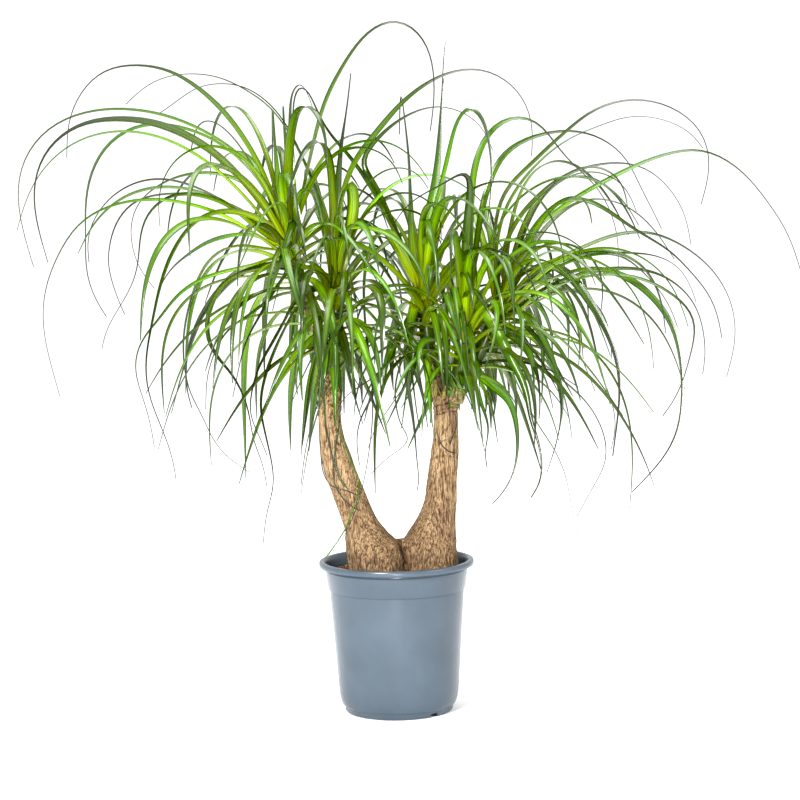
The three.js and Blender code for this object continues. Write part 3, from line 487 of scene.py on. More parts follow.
for layer, weight in ((fleck, 0.75), (cloud, 0.35), (plate, 0.06)):
    mixed = add_node(bark, "Math", {"operation": "MULTIPLY_ADD", 0: layer, 1: weight, 2: mixed})
tint = add_node(
    bark,
    "ValToRGB",
    {"stops": [(0.3, "#46362a"), (0.45, "#78614a"), (0.58, "#98805f"), (0.74, "#ac9574")], "Fac": mixed},
)
narrow = add_node(bark, "Mapping", {"Scale": (620.0, 620.0, 44.0), "Vector": place})
line = add_node(bark, "TexNoise", {"Scale": 1.0, "Detail": 3.0, "Vector": narrow})
fissure = add_node(
    bark, "MapRange", {"From Min": 0.5, "From Max": 0.4, "To Min": 0.0, "To Max": 0.8, "Value": line}
)
# Darkens the cracks, the scars and the seam's painted shade, then the fissures
for depth, code in ((crack, "#6b4b30"), (fissure, "#7a5230")):
    darker = {"data_type": "RGBA", "blend_type": "MULTIPLY", 0: depth, 6: tint, 7: linear(code)}
    tint = add_node(bark, "Mix", darker).outputs[2]
bump = add_node(bark, "Bump", {"Strength": 0.7, "Distance": 0.0009, "Height": fleck})
shine = add_node(
    bark,
    "BsdfPrincipled",
    {"Roughness": 0.82, "Specular IOR Level": 0.3, "Base Color": tint, "Normal": bump},
)
add_node(bark, "OutputMaterial", {"Surface": shine})
trunk.data.materials.append(bark)
trunk.data.shade_smooth()
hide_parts("trunk")
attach(trunk, "root")


# Dry leaf bases: the torn feet of old leaves stay wrapped round the top of each stem. They are
# thin tan fibre that grew with the trunk and is rooted in it.

# Rows are (x and y of the stem, lowest and highest foot, radius, how many, seed, wrap in
# radians, how far it stands off, half width)
DRY_BASES = (
    (-98, -5, 446, 500, 17, 9, 5, 1.3, 1.5, 4.5),
    (81, 3, 466, 482, 19, 6, 6, 0.7, 4, 4.5),
    (-98, -5, 440, 506, 17, 46, 15, 1.5, 2.5, 1.3),
    (-98, -5, 470, 512, 15, 14, 17, 0.8, 5, 3.4),
    (81, 3, 458, 486, 19, 22, 16, 1.1, 3, 1.1),
    (84, 0, 470, 486, 18, 12, 18, 0.5, 7, 4.2),
)
TALLEST_DRY_BASE = 42
WRAP_POINTS = 12
STRIP_THICK = 0.5
GOLDEN_TURN = 2.399963


def dry_strip(points, outward, half):
    """A thin strip along rows of points, lying square to the outward directions."""
    ahead = np.gradient(points, axis=0)
    edge = np.cross(outward, ahead)
    edge /= np.linalg.norm(edge, axis=1)[:, None]
    rings = []
    for over, out in ((1, 0), (0.4, 0.8), (-0.4, 0.8), (-1, 0), (-0.4, -1), (0.4, -1)):
        rings.append(points + edge * over * half[:, None] + outward * out * STRIP_THICK)
    return skin(np.stack(rings, 1))


def wrapped(foot, start, radius, wrap, stand, wide, random):
    """One leaf base that winds up and outwards round a stem from its foot."""
    share = np.linspace(0, 1, WRAP_POINTS)
    rise = TALLEST_DRY_BASE * (0.52 + 0.48 * random())
    turn = start + wrap * (0.6 + 0.8 * random()) * (-1 if random() < 0.3 else 1) * share
    reach = radius - 4 + (4 + stand) * share + 0.8 * np.sin(9 * share + start)
    outward = np.stack([np.cos(turn), np.sin(turn), 0 * turn], 1)
    centre = np.array(foot) + outward * reach[:, None] + np.outer(rise * share, (0, 0, 1))
    return dry_strip(centre, outward, wide * (1 - 0.58 * share) * (0.8 + 0.4 * random()))


strips = []
for x, y, low, high, radius, count, seed, wrap, stand, wide in DRY_BASES:
    random = make_random(seed)
    for i in range(count):
        foot = (x, y, low + (high - low) * i / count)
        strips.append(wrapped(foot, i * GOLDEN_TURN, radius, wrap, stand, wide, random))
husk = make_object("dry_leaf_bases", *merge(strips))

# Dry leaf fibre: straw and tan in patches 20 mm across, with brown marks 4 mm across
fibre = new_material("dry_leaf_fibre")
place = add_node(fibre, "TexCoord", {}).outputs["Object"]
streak = add_node(fibre, "TexNoise", {"Scale": 260.0, "Detail": 4.0, "Vector": place})
broad = add_node(fibre, "TexNoise", {"Scale": 45.0, "Detail": 2.0, "Vector": place})
mixed = add_node(fibre, "Math", {"operation": "MULTIPLY_ADD", 0: broad, 1: 0.9, 2: streak})
tint = add_node(
    fibre,
    "ValToRGB",
    {"stops": [(0.74, "#3f2c18"), (0.9, "#7a5c34"), (1.0, "#a08350"), (1.14, "#8c8a3e")], "Fac": mixed},
)
shine = add_node(fibre, "BsdfPrincipled", {"Roughness": 0.7, "Specular IOR Level": 0.3, "Base Color": tint})
add_node(fibre, "OutputMaterial", {"Surface": shine})
husk.data.materials.append(fibre)
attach(husk, "root")


# Leaf heads: each head is one growing point with strap leaves nested round it, lime at the
# foot, arching over and drawn out to a thread at the tip. A leaf is a shallow channel of soft
# green tissue, half a millimetre thick, with lengthwise veins.

# Leaves that the photograph shows, listed one by one. Rows are (widest width, how far the tip lies
# behind (+) or before (-) the head, turn of the blade in degrees, front-view path of across and
# height by turns).
SHOWN_LEAVES = {
    "upper_left": [
        (20, -60, 35, [-170, 780, -193, 843, -216, 885, -245, 927, -285, 966, -330, 995, -380, 1004,
         -430, 997, -467, 962, -486, 920, -490, 865]),
        (14, 40, 25, [-175, 790, -205, 845, -243, 881, -298, 912, -346, 930, -423, 939, -480, 929,
         -517, 911, -549, 877, -565, 839, -567, 791, -557, 740, -546, 699]),
        (20, -120, 40, [-185, 775, -232, 837, -275, 877, -322, 904, -371, 920, -419, 923, -461, 919,
         -500, 898, -525, 872, -541, 831, -543, 800, -538, 761, -524, 705]),
        (14, 90, 25, [-180, 800, -225, 860, -280, 898, -330, 912, -371, 915, -415, 896, -440, 870,
         -458, 830, -465, 782, -464, 735, -468, 704, -457, 653, -437, 621]),
        (14, 150, 25, [-190, 745, -235, 785, -277, 810, -325, 828, -360, 831, -398, 821, -433, 796,
         -456, 762, -463, 735, -461, 705]),
        (14, -170, 20, [-200, 738, -240, 768, -266, 780, -326, 797, -370, 801, -423, 793, -463, 776,
         -490, 750, -509, 717, -524, 686, -533, 655, -536, 620, -531, 574, -519, 525, -513, 500]),
        (14, 60, -30, [-185, 790, -210, 815, -242, 833, -290, 839, -330, 831, -367, 811, -387, 790,
         -397, 756, -396, 735, -387, 698, -363, 663]),
        (18, -90, 30, [-195, 745, -241, 787, -292, 806, -318, 809, -345, 801, -366, 784, -380, 758,
         -384, 730, -386, 703, -393, 676, -412, 643, -440, 599, -446, 572]),
        (13, 120, 20, [-195, 760, -240, 790, -290, 806, -340, 808, -375, 803, -399, 790, -421, 759,
         -431, 721, -433, 700, -429, 682, -417, 642, -409, 624]),
        (20, -180, 55, [-180, 755, -225, 778, -271, 780, -303, 764, -333, 721, -353, 673, -368, 610,
         -378, 566, -381, 530, -374, 490, -352, 433, -339, 388, -338, 366]),
        (18, -130, 45, [-190, 705, -220, 695, -256, 688, -297, 674, -333, 648, -360, 612, -380, 592,
         -395, 561, -396, 530, -386, 497, -375, 455, -370, 418]),
        (14, -60, 35, [-190, 720, -240, 730, -280, 705, -302, 662, -317, 613, -322, 570, -320, 535,
         -311, 493, -297, 473, -286, 441, -265, 406, -225, 376]),
        (17, 80, 45, [-200, 695, -244, 675, -272, 647, -298, 608, -313, 569, -317, 545, -316, 500,
         -310, 478]),
        (14, 30, 20, [-200, 690, -245, 680, -275, 640, -285, 600, -273, 559, -251, 536, -235, 508,
         -222, 470, -218, 428, -202, 386, -198, 354]),
        (16, 90, 30, [-185, 735, -215, 744, -243, 742, -279, 732, -316, 709, -331, 697, -350, 672,
         -362, 640]),
        (17, 110, 30, [-180, 800, -211, 857, -238, 895, -264, 916, -281, 918, -293, 902, -300, 872]),
        (19, -40, 40, [-143, 770, -128, 830, -112, 890, -96, 941, -68, 993, -38, 1036, -8, 1060, 16, 1065,
         47, 1049, 68, 1012, 73, 966, 71, 930, 65, 894]),
        (17, 200, 60, [-152, 800, -155, 870, -158, 925, -158, 944, -157, 925, -156, 880]),
        (14, 150, 60, [-160, 760, -168, 820, -172, 880, -174, 930, -174, 943, -176, 870, -178, 800]),
        (14, 60, 50, [-148, 780, -147, 860, -148, 920, -143, 960, -131, 974, -120, 955, -112, 930]),
    ],
    "left": [
        (14, 120, 30, [-130, 655, -170, 652, -216, 621, -252, 597, -273, 563, -286, 522, -288, 495,
         -289, 475]),
        (17, -100, 45, [-120, 690, -150, 692, -180, 655, -200, 622, -215, 597, -226, 575, -234, 548,
         -240, 523, -247, 493]),
        (18, -140, 50, [-112, 655, -138, 652, -165, 612, -181, 582, -207, 537, -220, 490, -221, 465,
         -205, 425, -196, 400]),
        (17, -90, 45, [-108, 640, -138, 640, -165, 600, -187, 552, -201, 510, -206, 479, -202, 453,
         -192, 405, -186, 365, -191, 336, -199, 318, -203, 289, -206, 264]),
        (19, -105, 60, [-66, 720, -52, 800, -58, 832, -74, 805, -83, 750, -89, 700, -94, 640, -96, 580,
         -99, 530, -108, 505, -124, 459, -137, 414, -145, 356]),
        (18, 60, 35, [-80, 760, -66, 820, -48, 858, -15, 896, 17, 934, 52, 962, 88, 981, 131, 989, 162, 982,
         191, 963, 212, 935, 222, 900, 219, 853]),
        (17, 40, 50, [-82, 750, -76, 830, -70, 882, -65, 910, -60, 940, -54, 984]),
        (13, 90, 25, [-95, 740, -115, 820, -145, 890, -178, 938, -208, 959, -250, 982, -296, 989, -340, 984,
         -370, 969, -397, 944]),
        (11, 150, 25, [-92, 760, -125, 850, -160, 920, -190, 952, -222, 970, -260, 973, -290, 968,
         -315, 950, -345, 930]),
    ],
    "middle": [
        (13, 100, 30, [10, 740, -30, 830, -45, 845, -20, 880, 4, 903, 40, 924, 78, 933, 104, 927, 124, 918,
         146, 898, 160, 863]),
        (20, 50, 45, [35, 690, 10, 740, -11, 783, -41, 834, -62, 863, -86, 890, -102, 917, -113, 946,
         -124, 969, -132, 973, -140, 960, -143, 930, -145, 890]),
        (18, 120, 60, [38, 690, 34, 731, 33, 803, 32, 852, 28, 900, 24, 940, 22, 958, 20, 940, 18, 890]),
        (18, 30, 60, [52, 700, 58, 755, 69, 803, 76, 851, 80, 899, 83, 935, 86, 976, 88, 1007, 91, 1028]),
        (19, -50, 55, [54, 690, 62, 755, 76, 802, 90, 850, 98, 886, 108, 915, 121, 934, 132, 934, 141, 922,
         150, 900, 156, 861, 158, 837, 155, 790, 150, 750]),
        (19, -150, 50, [20, 700, 5, 742, -10, 757, -28, 735, -40, 690, -44, 650, -42, 600, -36, 550,
         -32, 500, -33, 450, -40, 400, -50, 350, -66, 300, -84, 268]),
        (13, 60, 30, [30, 610, 22, 550, 22, 515, 24, 498, 30, 456, 33, 420, 35, 385, 38, 352, 34, 342]),
        (19, -130, 60, [40, 640, 33, 620, 28, 590, 28, 559, 30, 520, 33, 490, 37, 455, 40, 440]),
        (14, -60, 35, [30, 585, 24, 545, 20, 510, 2, 485, -8, 470, -20, 453, -33, 432, -40, 410]),
        (11, -40, 30, [28, 575, 8, 530, 2, 495, 5, 465, 14, 436, 26, 425, 20, 415, 0, 402, -22, 385,
         -37, 370]),
        (12, 60, 35, [20, 600, 0, 560, -20, 520, -35, 484, -50, 458, -57, 430, -57, 410, -54, 384]),
        (14, -90, 30, [20, 590, 0, 560, -20, 530, -41, 512, -62, 500, -79, 485, -88, 465, -92, 445]),
    ],
    "front": [
        (20, -60, 50, [114, 640, 116, 700, 121, 770, 125, 820, 120, 834, 106, 828, 84, 814, 60, 803,
         40, 792, 20, 775, 5, 752]),
        (18, 60, 40, [122, 700, 125, 780, 130, 837, 148, 885, 171, 909, 200, 917, 231, 908, 250, 881,
         265, 855, 285, 836, 305, 820, 324, 799, 340, 766, 350, 729, 351, 700, 349, 675]),
        (16, 90, 30, [128, 690, 148, 800, 177, 861, 221, 883, 260, 891, 296, 890, 330, 877, 356, 857,
         372, 835, 381, 808, 399, 775, 409, 755, 416, 738]),
        (20, -110, 50, [125, 640, 141, 618, 163, 584, 182, 545, 201, 507, 208, 478, 211, 449, 223, 414,
         228, 379, 224, 348, 210, 328]),
        (10, 60, 20, [138, 590, 168, 560, 195, 500, 220, 446, 247, 404, 265, 360, 274, 303, 287, 253]),
        (16, -50, 40, [118, 545, 132, 522, 149, 506, 179, 480, 187, 455, 191, 418, 188, 385, 181, 360,
         163, 332, 150, 319]),
        (11, -90, 30, [118, 530, 128, 505, 134, 480, 141, 460, 146, 440, 144, 420, 140, 400, 143, 376]),
        (12, -60, 30, [120, 535, 145, 540, 170, 541, 195, 540, 215, 534, 240, 526, 262, 514, 285, 498]),
    ],
    "right": [
        (18, -40, 35, [158, 700, 162, 770, 184, 815, 216, 838, 240, 864, 275, 892, 304, 918, 338, 932,
         372, 938, 407, 934, 450, 915, 478, 889, 490, 860, 491, 823, 477, 775]),
        (11, 140, 20, [160, 690, 175, 770, 215, 830, 265, 873, 300, 890, 323, 897, 362, 911, 401, 910,
         432, 901, 466, 882, 480, 860]),
        (17, 30, 30, [172, 665, 197, 713, 224, 746, 263, 775, 300, 798, 342, 819, 385, 840, 420, 852,
         458, 860, 481, 860, 517, 842, 551, 814, 574, 782, 597, 751, 614, 718, 624, 687, 629, 668]),
        (13, 100, 25, [165, 680, 190, 750, 230, 795, 255, 815, 278, 828, 320, 839, 360, 841, 391, 833,
         416, 815, 437, 789, 452, 762, 461, 713]),
        (17, -110, 40, [165, 640, 190, 700, 225, 755, 255, 782, 280, 790, 312, 783, 340, 764, 369, 742,
         398, 724, 431, 704, 455, 677, 475, 655, 488, 638, 497, 619, 503, 597, 507, 569]),
        (16, 60, 30, [185, 640, 215, 670, 250, 695, 293, 712, 330, 728, 364, 735, 384, 737, 420, 728,
         456, 708, 485, 685, 513, 647, 527, 606, 528, 562, 514, 509]),
        (13, 150, 25, [180, 630, 215, 668, 252, 690, 293, 701, 330, 704, 360, 703, 407, 698, 441, 680,
         460, 650, 468, 625]),
        (14, -60, 30, [185, 625, 225, 668, 270, 690, 315, 702, 354, 699, 385, 675, 413, 643, 430, 614,
         439, 587]),
        (16, -150, 30, [180, 615, 220, 655, 262, 674, 310, 682, 352, 672, 385, 651, 416, 618, 435, 583,
         442, 550, 446, 510, 445, 476, 441, 438, 425, 398, 396, 363, 366, 333]),
        (14, 20, 30, [175, 605, 215, 640, 260, 662, 310, 676, 352, 680, 401, 674, 441, 652, 469, 617,
         480, 572, 482, 545, 477, 514]),
        (12, -200, 25, [170, 595, 210, 632, 265, 660, 330, 672, 390, 662, 435, 636, 462, 610, 468, 585,
         460, 552, 450, 514, 432, 472, 415, 451]),
        (20, -120, 55, [170, 640, 195, 672, 230, 690, 249, 688, 275, 671, 303, 632, 331, 582, 346, 534,
         349, 490, 346, 455, 342, 425, 337, 390]),
        (17, 40, 45, [175, 625, 205, 655, 232, 672, 250, 669, 278, 647, 300, 607, 312, 560, 320, 519,
         334, 484, 343, 440, 335, 400]),
        (18, -160, 50, [155, 600, 167, 590, 189, 579, 204, 563, 215, 541, 222, 522, 225, 500, 226, 475,
         224, 450]),
        (16, -50, 40, [165, 600, 183, 592, 200, 587, 227, 569, 248, 533, 258, 492, 260, 460, 252, 417,
         247, 400, 235, 365]),
        (12, 60, 30, [170, 585, 205, 560, 240, 530, 266, 506, 286, 489, 304, 468, 316, 447, 328, 409,
         325, 375, 309, 347, 281, 297]),
    ],
}
# Leaves that fill each head by rule: how many, seed, shortest and longest. The first table is
# in the solids too, and the second adds the thinner leaves between them.
FILL_LEAVES = {
    "upper_left": (14, 21, 260, 480),
    "left": (16, 22, 260, 480),
    "middle": (16, 23, 240, 460),
    "front": (18, 24, 240, 460),
    "right": (15, 25, 260, 500),
}
MORE_LEAVES = {
    "upper_left": (54, 31, 200, 470),
    "left": (60, 32, 200, 460),
    "middle": (50, 33, 180, 420),
    "front": (60, 34, 160, 420),
    "right": (60, 35, 220, 480),
}
# A blade's width at shares of its length, as shares of its widest: long, short and broad leaves
WIDTH_SHARES = (0, 0.07, 0.2, 0.36, 0.5, 0.64, 0.78, 1)
LONG_FORM = (0.85, 1, 0.95, 0.8, 0.58, 0.34, 0.17, 0.1)
SHORT_FORM = (0.85, 1, 0.98, 0.9, 0.78, 0.6, 0.36, 0.1)
BROAD_FORM = (0.85, 1, 1, 0.96, 0.9, 0.76, 0.52, 0.1)
# The least that a leaf's width counts as where it is placed, and its least width when finished
LEAST_WIDTH = 1.8
FINEST_WIDTH = 1.6
# Where the photograph was taken from, in front of the object
VIEW_X = 10.6
VIEW_DISTANCE = 3800
VIEW_HEIGHT = 864
# A leaf's first point lies this far inside its head
ROOT_SUNK = 6
# How far past the solids a leaf may reach, its lowest place, the share of its width that other
# heads' leaves keep clear of, and the steps by which it is moved until it is clear
ROOM = 4
LOWEST_LEAF = 252
CLEAR_SHARE = 0.4
DEPTH_STEP = 14
BEARING_STEP = 0.07
TRIES = [0] + [step * way for step in range(1, 11) for way in (1, -1)]
# Shares of its length at which a leaf is tested
SHARES_SHOWN = (0, 0.12, 0.26, 0.41, 0.56, 0.7, 0.85, 1)
SHARES_FILL = (0, 0.18, 0.38, 0.58, 0.79, 1)
# The finished blade: rings along it, its channel, and how it smooths, twists and flares
FINE_SHARES = np.linspace(0, 1, 46)
SMOOTHINGS = 6
KEEL = 0.24
LEAF_THICK = 0.55
MOST_WAVE = 0.8
FOOT_FLARE = 0.35
LEAF_CREASE = 62
# Short leaves stay green, so they have only this share of the colours along a long one
SHORT_LEAF_SHARE = 0.6
PAINTED_KEYS = ("share", "across", "side", "run", "tone")


def leaf_widths(width, shares, form, least=LEAST_WIDTH):
    return np.maximum(width * np.interp(shares, WIDTH_SHARES, form), least)


def along_path(points, shares):
    """Points at even shares of the length of a smooth curve through given points."""
    points = np.asarray(points, float)
    more = padded(points)
    dense = []
    for i in range(len(points) - 1):
        a, b, c, d = more[i : i + 4]
        ta, tb, tc = (max(np.sum((q - p) ** 2) ** 0.25, 1e-4) for p, q in ((a, b), (b, c), (c, d)))
        way_in = ((b - a) / ta - (c - a) / (ta + tb) + (c - b) / tb) * tb
        way_out = ((c - b) / tb - (d - b) / (tb + tc) + (d - c) / tc) * tb
        bow = -3 * b + 3 * c - 2 * way_in - way_out
        swing = 2 * b - 2 * c + way_in + way_out
        dense += [b + way_in * t + bow * t**2 + swing * t**3 for t in np.arange(12) / 12]
    dense = np.array([*dense, points[-1]])
    run = np.concatenate([[0], np.cumsum(np.linalg.norm(np.diff(dense, axis=0), axis=1))])
    want = np.asarray(shares) * run[-1]
    return np.stack([np.interp(want, run, dense[:, k]) for k in range(3)], 1)


def root_height(rise):
    """Where a leaf stands on its head, as a share of the head: the steeper, the higher."""
    return 0.12 + 0.76 * max(0, rise)


def shown_path(head, depth, path):
    """A front-view path set at its depth, drawn in or out as seen from the viewing distance."""
    base = head["base"]
    flat = np.reshape(path, (-1, 2)).astype(float)
    first = np.array([flat[0, 0], base[1], flat[0, 1]])
    root = base + head["axis"] * head["length"] * root_height(unit(first - base)[2])
    outward = (first - root) * (1, 1, 0)
    root = root + unit(outward) * (head["radius"] - ROOT_SUNK)
    flat_run = np.vstack([root[[0, 2]], flat])
    run = np.cumsum(np.linalg.norm(np.diff(flat_run, axis=0), axis=1))
    y = base[1] + depth * (run / run[-1]) ** 1.2
    scale = (VIEW_DISTANCE + y) / VIEW_DISTANCE
    x = VIEW_X + (flat[:, 0] - VIEW_X) * scale
    z = VIEW_HEIGHT + (flat[:, 1] - VIEW_HEIGHT) * scale
    return np.vstack([root, np.stack([x, y, z], 1)])


def ruled_path(head, slope, droop, bend, sway, bearing, length):
    """A leaf by rule: it leaves its head at one slope and bends over to another."""
    point = head["base"] + head["axis"] * head["length"] * root_height(math.sin(slope))
    point = point + np.array([math.cos(bearing), math.sin(bearing), 0]) * (head["radius"] - ROOT_SUNK)
    points = [point]
    k = bend**1.5 / (1 - bend) ** 1.5
    for s in (np.arange(10) + 0.5) / 10:
        over = s**1.5 / (s**1.5 + k * (1 - s) ** 1.5)
        now = slope + (droop - slope) * over
        way = bearing + sway * s * s
        flat = math.cos(now)
        point = point + length / 10 * np.array([flat * math.cos(way), flat * math.sin(way), math.sin(now)])
        points.append(point)
    return np.array(points)


def reaches_out(points):
    """True where a leaf would leave the room that the solid heads take up."""
    low, high = np.array(cad_box) * 1000
    return bool((points.min(0) < low - ROOM).any() or (points.max(0) > high + ROOM).any())


in_the_way = []


def stand_in_the_way(points, radii, owner):
    """Adds rods of (start, end, radius, owner), which leaves of any other owner keep clear of."""
    in_the_way.extend((*rod, owner) for rod in zip(points, points[1:], radii))


def is_clear(points, shares, width, form, owner):
    """True where a leaf of one head passes clear of the pot, the trunk and other heads' leaves."""
    if (points[:, 2] < LOWEST_LEAF).any():
        return False
    starts, ends, radii, owners = (np.array(column) for column in zip(*in_the_way))
    ways = ends - starts
    c = (ways**2).sum(1)
    widths = CLEAR_SHARE * leaf_widths(width, shares, form) + 1.3
    for i in range(len(points) - 1):
        u = points[i + 1] - points[i]
        w = points[i] - starts
        a = u @ u
        b = ways @ u
        d = w @ u
        e = (ways * w).sum(1)
        spread = a * c - b * b
        m = np.where(spread > 1e-9, np.clip((b * e - c * d) / np.maximum(spread, 1e-9), 0, 1), 0)
        n = np.clip((b * m + e) / c, 0, 1)
        m = np.clip((b * n - d) / a, 0, 1)
        gaps = np.linalg.norm(w + m[:, None] * u - n[:, None] * ways, axis=1)
        own = owners == owner
        if i == 0:
            own |= owners == "branch_" + owner
        if (~own & (gaps < widths[i] + radii)).any():
            return False
    return True


def leaf_skin(points, widths, turn, wave):
    """The skin of one leaf: rings of eight points in a shallow channel, half a millimetre thick."""
    out = (points[-1] - points[0]) * (1, 1, 0)
    out = unit(out) if np.linalg.norm(out) > 1 else np.array([1.0, 0, 0])
    across = unit(np.cross((0, 0, 1), out))
    ahead = np.gradient(points, axis=0)
    ahead /= np.linalg.norm(ahead, axis=1)[:, None]
    face = np.cross(ahead, across)
    face /= np.linalg.norm(face, axis=1)[:, None]
    side = np.cross(face, ahead)
    twist = (turn * np.minimum(1, FINE_SHARES * 2.5) + wave * FINE_SHARES)[:, None]
    edge = side * np.cos(twist) + face * np.sin(twist)
    lift = face * np.cos(twist) - side * np.sin(twist)
    half = (widths / 2)[:, None]
    keel = np.maximum(0.5, KEEL * widths)[:, None]
    thick = np.minimum(LEAF_THICK, 0.28 * widths)[:, None]
    rings = []
    for over, up, under in (
        (1, 0, 0), (0.5, -0.42, 0), (0, -0.86, 0), (-0.5, -0.42, 0),
        (-1, 0, 0), (-0.5, -0.42, 1), (0, -0.9, 1), (0.5, -0.42, 1),
    ):
        rings.append(points + edge * half * over + lift * (keel * up - thick * under))
    return skin(np.stack(rings, 1))


def add_leaf(name, tone, points, width, form, turn, wave):
    """Adds one leaf to its head's skins, with the numbers that its material reads."""
    fine = along_path(points, FINE_SHARES)
    for _ in range(SMOOTHINGS):
        fine[1:-1] = (fine[:-2] + 2 * fine[1:-1] + fine[2:]) / 4
    length = np.linalg.norm(np.diff(fine, axis=0), axis=1).sum()
    flare = 1 + FOOT_FLARE * np.exp(-FINE_SHARES / 0.03)
    widths = leaf_widths(width, FINE_SHARES, form, FINEST_WIDTH) * flare
    leaves[name].append(leaf_skin(fine, widths, turn, wave))
    offsets = np.array([1, 0.5, 0, -0.5, -1, -0.5, 0, 0.5])
    numbers = painted[name]
    numbers["share"].extend(np.repeat(FINE_SHARES * (1 if form is LONG_FORM else SHORT_LEAF_SHARE), 8))
    numbers["across"].extend((widths[:, None] / 2 * offsets).ravel())
    numbers["side"].extend(np.tile(np.abs(offsets), len(FINE_SHARES)))
    numbers["run"].extend(np.repeat(FINE_SHARES * length, 8))
    numbers["tone"].extend([tone] * (8 * len(FINE_SHARES)))


def place_leaf(name, hand_path, shares, width, form, turn, painted_shade_tone_cap):
    """Adds a leaf at the first of its tries that is clear, or leaves it out."""
    for step in TRIES:
        hand = hand_path(step)
        points = along_path(hand, shares)
        if is_clear(points, shares, width, form, name):
            room = CLEAR_SHARE * leaf_widths(width, shares, form) + 0.4
            stand_in_the_way(points, room, name)
            # Painted shade: a leaf's tone is drawn at random up to its cap, which is lower for the added
            # leaves inside the heads
            add_leaf(name, painted_shade_tone_cap * look(), hand, width, form, turn, MOST_WAVE * (look() - 0.5))
            return


for stem in (LEFT_STEM, RIGHT_STEM):
    rows = np.array(stem, float)
    stand_in_the_way(rows[:, :3], rows[:, 3:].max(1) + 1, "trunk")
for name, branch in BRANCHES.items():
    head = HEADS[name]
    rows = np.array(branch, float)
    stand_in_the_way([*rows[:, :3], head["base"]], rows[:, 3] + 1, "branch_" + name)
    tip = head["base"] + head["axis"] * head["length"]
    stand_in_the_way([head["base"], tip], [head["radius"]], name)
for x, y, low, high, radius, _, _, _, stand, _ in DRY_BASES[:2]:
    ends = np.array([(x, y, low), (x, y, high + TALLEST_DRY_BASE)], float)
    stand_in_the_way(ends, [radius + stand + 2], "trunk")

leaves = {name: [] for name in HEADS}
painted = {name: {key: [] for key in PAINTED_KEYS} for name in HEADS}
look = make_random(77)
for name, rows in SHOWN_LEAVES.items():
    for width, depth, turn, path in rows:
        place_leaf(
            name, lambda step: shown_path(HEADS[name], depth + step * DEPTH_STEP, path),
            SHARES_SHOWN, width, LONG_FORM, math.radians(turn), 1,
        )

# Leaves by rule: the inner ones stand up and bend late, the outer ones lie flat and hang
STEEPEST = 78
FLATTEST = -14
SLOPE_SPREAD = 14
SHORTEN = 0.92
NARROWEST = 10
WIDTH_SPREAD = 6
DEPTH_PULL = 0.35
OUTWARD_PULL = 0.3
OUTWARD_REACH = 140
# Rows are (table, form, least droop, its spread, most sway, lowest tip over a stem, highest tone). The
# highest tone is 0.7 for the added leaves, as painted shade inside the heads
RULES = (
    (FILL_LEAVES, SHORT_FORM, 48, 46, 1.4, 430, 1),
    (MORE_LEAVES, BROAD_FORM, 52, 50, 2.4, 500, 0.7),
)
for table, form, least_droop, droop_spread, most_sway, lowest_over_stem, painted_shade_tone_cap in RULES:
    for name, (count, seed, shortest, longest) in table.items():
        head = HEADS[name]
        random = make_random(seed)
        for i in range(count):
            age = (i + 0.5) / count
            turn = i * GOLDEN_TURN + 0.5 * (random() - 0.5)
            bearing = turn + DEPTH_PULL * math.sin(2 * turn)
            side = np.clip(head["base"][0] / OUTWARD_REACH, -1, 1)
            outward = 1 + OUTWARD_PULL * side * math.cos(bearing)
            slope = math.radians(STEEPEST - (STEEPEST - FLATTEST) * age + SLOPE_SPREAD * (random() - 0.5))
            droop = math.radians(-least_droop - droop_spread * random())
            bend = 0.66 - 0.3 * age + 0.24 * (random() - 0.5)
            sway = most_sway * (random() - 0.5)
            length = outward * (shortest + (longest - shortest) * random() * (1 - 0.25 * age))
            width = NARROWEST + WIDTH_SPREAD * random()
            blade_turn = 0.9 * (random() - 0.5)
            over_stem = math.sin(bearing) < 0.3 and abs(math.cos(bearing)) < 0.75
            lowest = max(300 + 180 * random(), lowest_over_stem if over_stem else 0)
            shape = (head, slope, droop, bend, sway)
            while ruled_path(*shape, bearing, length)[-1, 2] < lowest:
                length *= SHORTEN
            while table is MORE_LEAVES and reaches_out(ruled_path(*shape, bearing, length)):
                length *= SHORTEN
            place_leaf(
                name, lambda step: ruled_path(*shape, bearing + step * BEARING_STEP, length),
                SHARES_FILL, width, form, blade_turn, painted_shade_tone_cap,
            )

# Fresh leaf: lime at the foot, mid green, then olive and grey-brown at the thread-thin tip.
# Veins run lengthwise about 1 mm apart, and some light passes through the blade. Painted shade
# darkens each blade towards its edges, and the added leaves as a whole.
blade = new_material("semi_gloss_strap_leaf")
share, across, side, run, tone = (
    add_node(blade, "Attribute", {"attribute_name": key}).outputs["Fac"] for key in PAINTED_KEYS
)
GROWN = [
    (0.0, "#c6d244"), (0.08, "#a8c628"), (0.22, "#7ca60f"), (0.37, "#57820c"),
    (0.5, "#41640f"), (0.64, "#34441c"), (1.0, "#34362b"),
]
grown = add_node(blade, "ValToRGB", {"stops": GROWN, "Fac": share})
slow = add_node(blade, "Math", {"operation": "MULTIPLY", 0: run, 1: 0.006})
number = add_node(blade, "Math", {"operation": "MULTIPLY", 0: tone, 1: 40.0})
where = add_node(blade, "CombineXYZ", {"X": across, "Y": slow, "Z": number})
veins = add_node(blade, "TexNoise", {"Scale": 1.0, "Detail": 2.0, "Vector": where})
bright = add_node(
    blade, "MapRange", {"From Min": 0.3, "From Max": 0.7, "To Min": 0.54, "To Max": 1.44, "Value": veins}
)
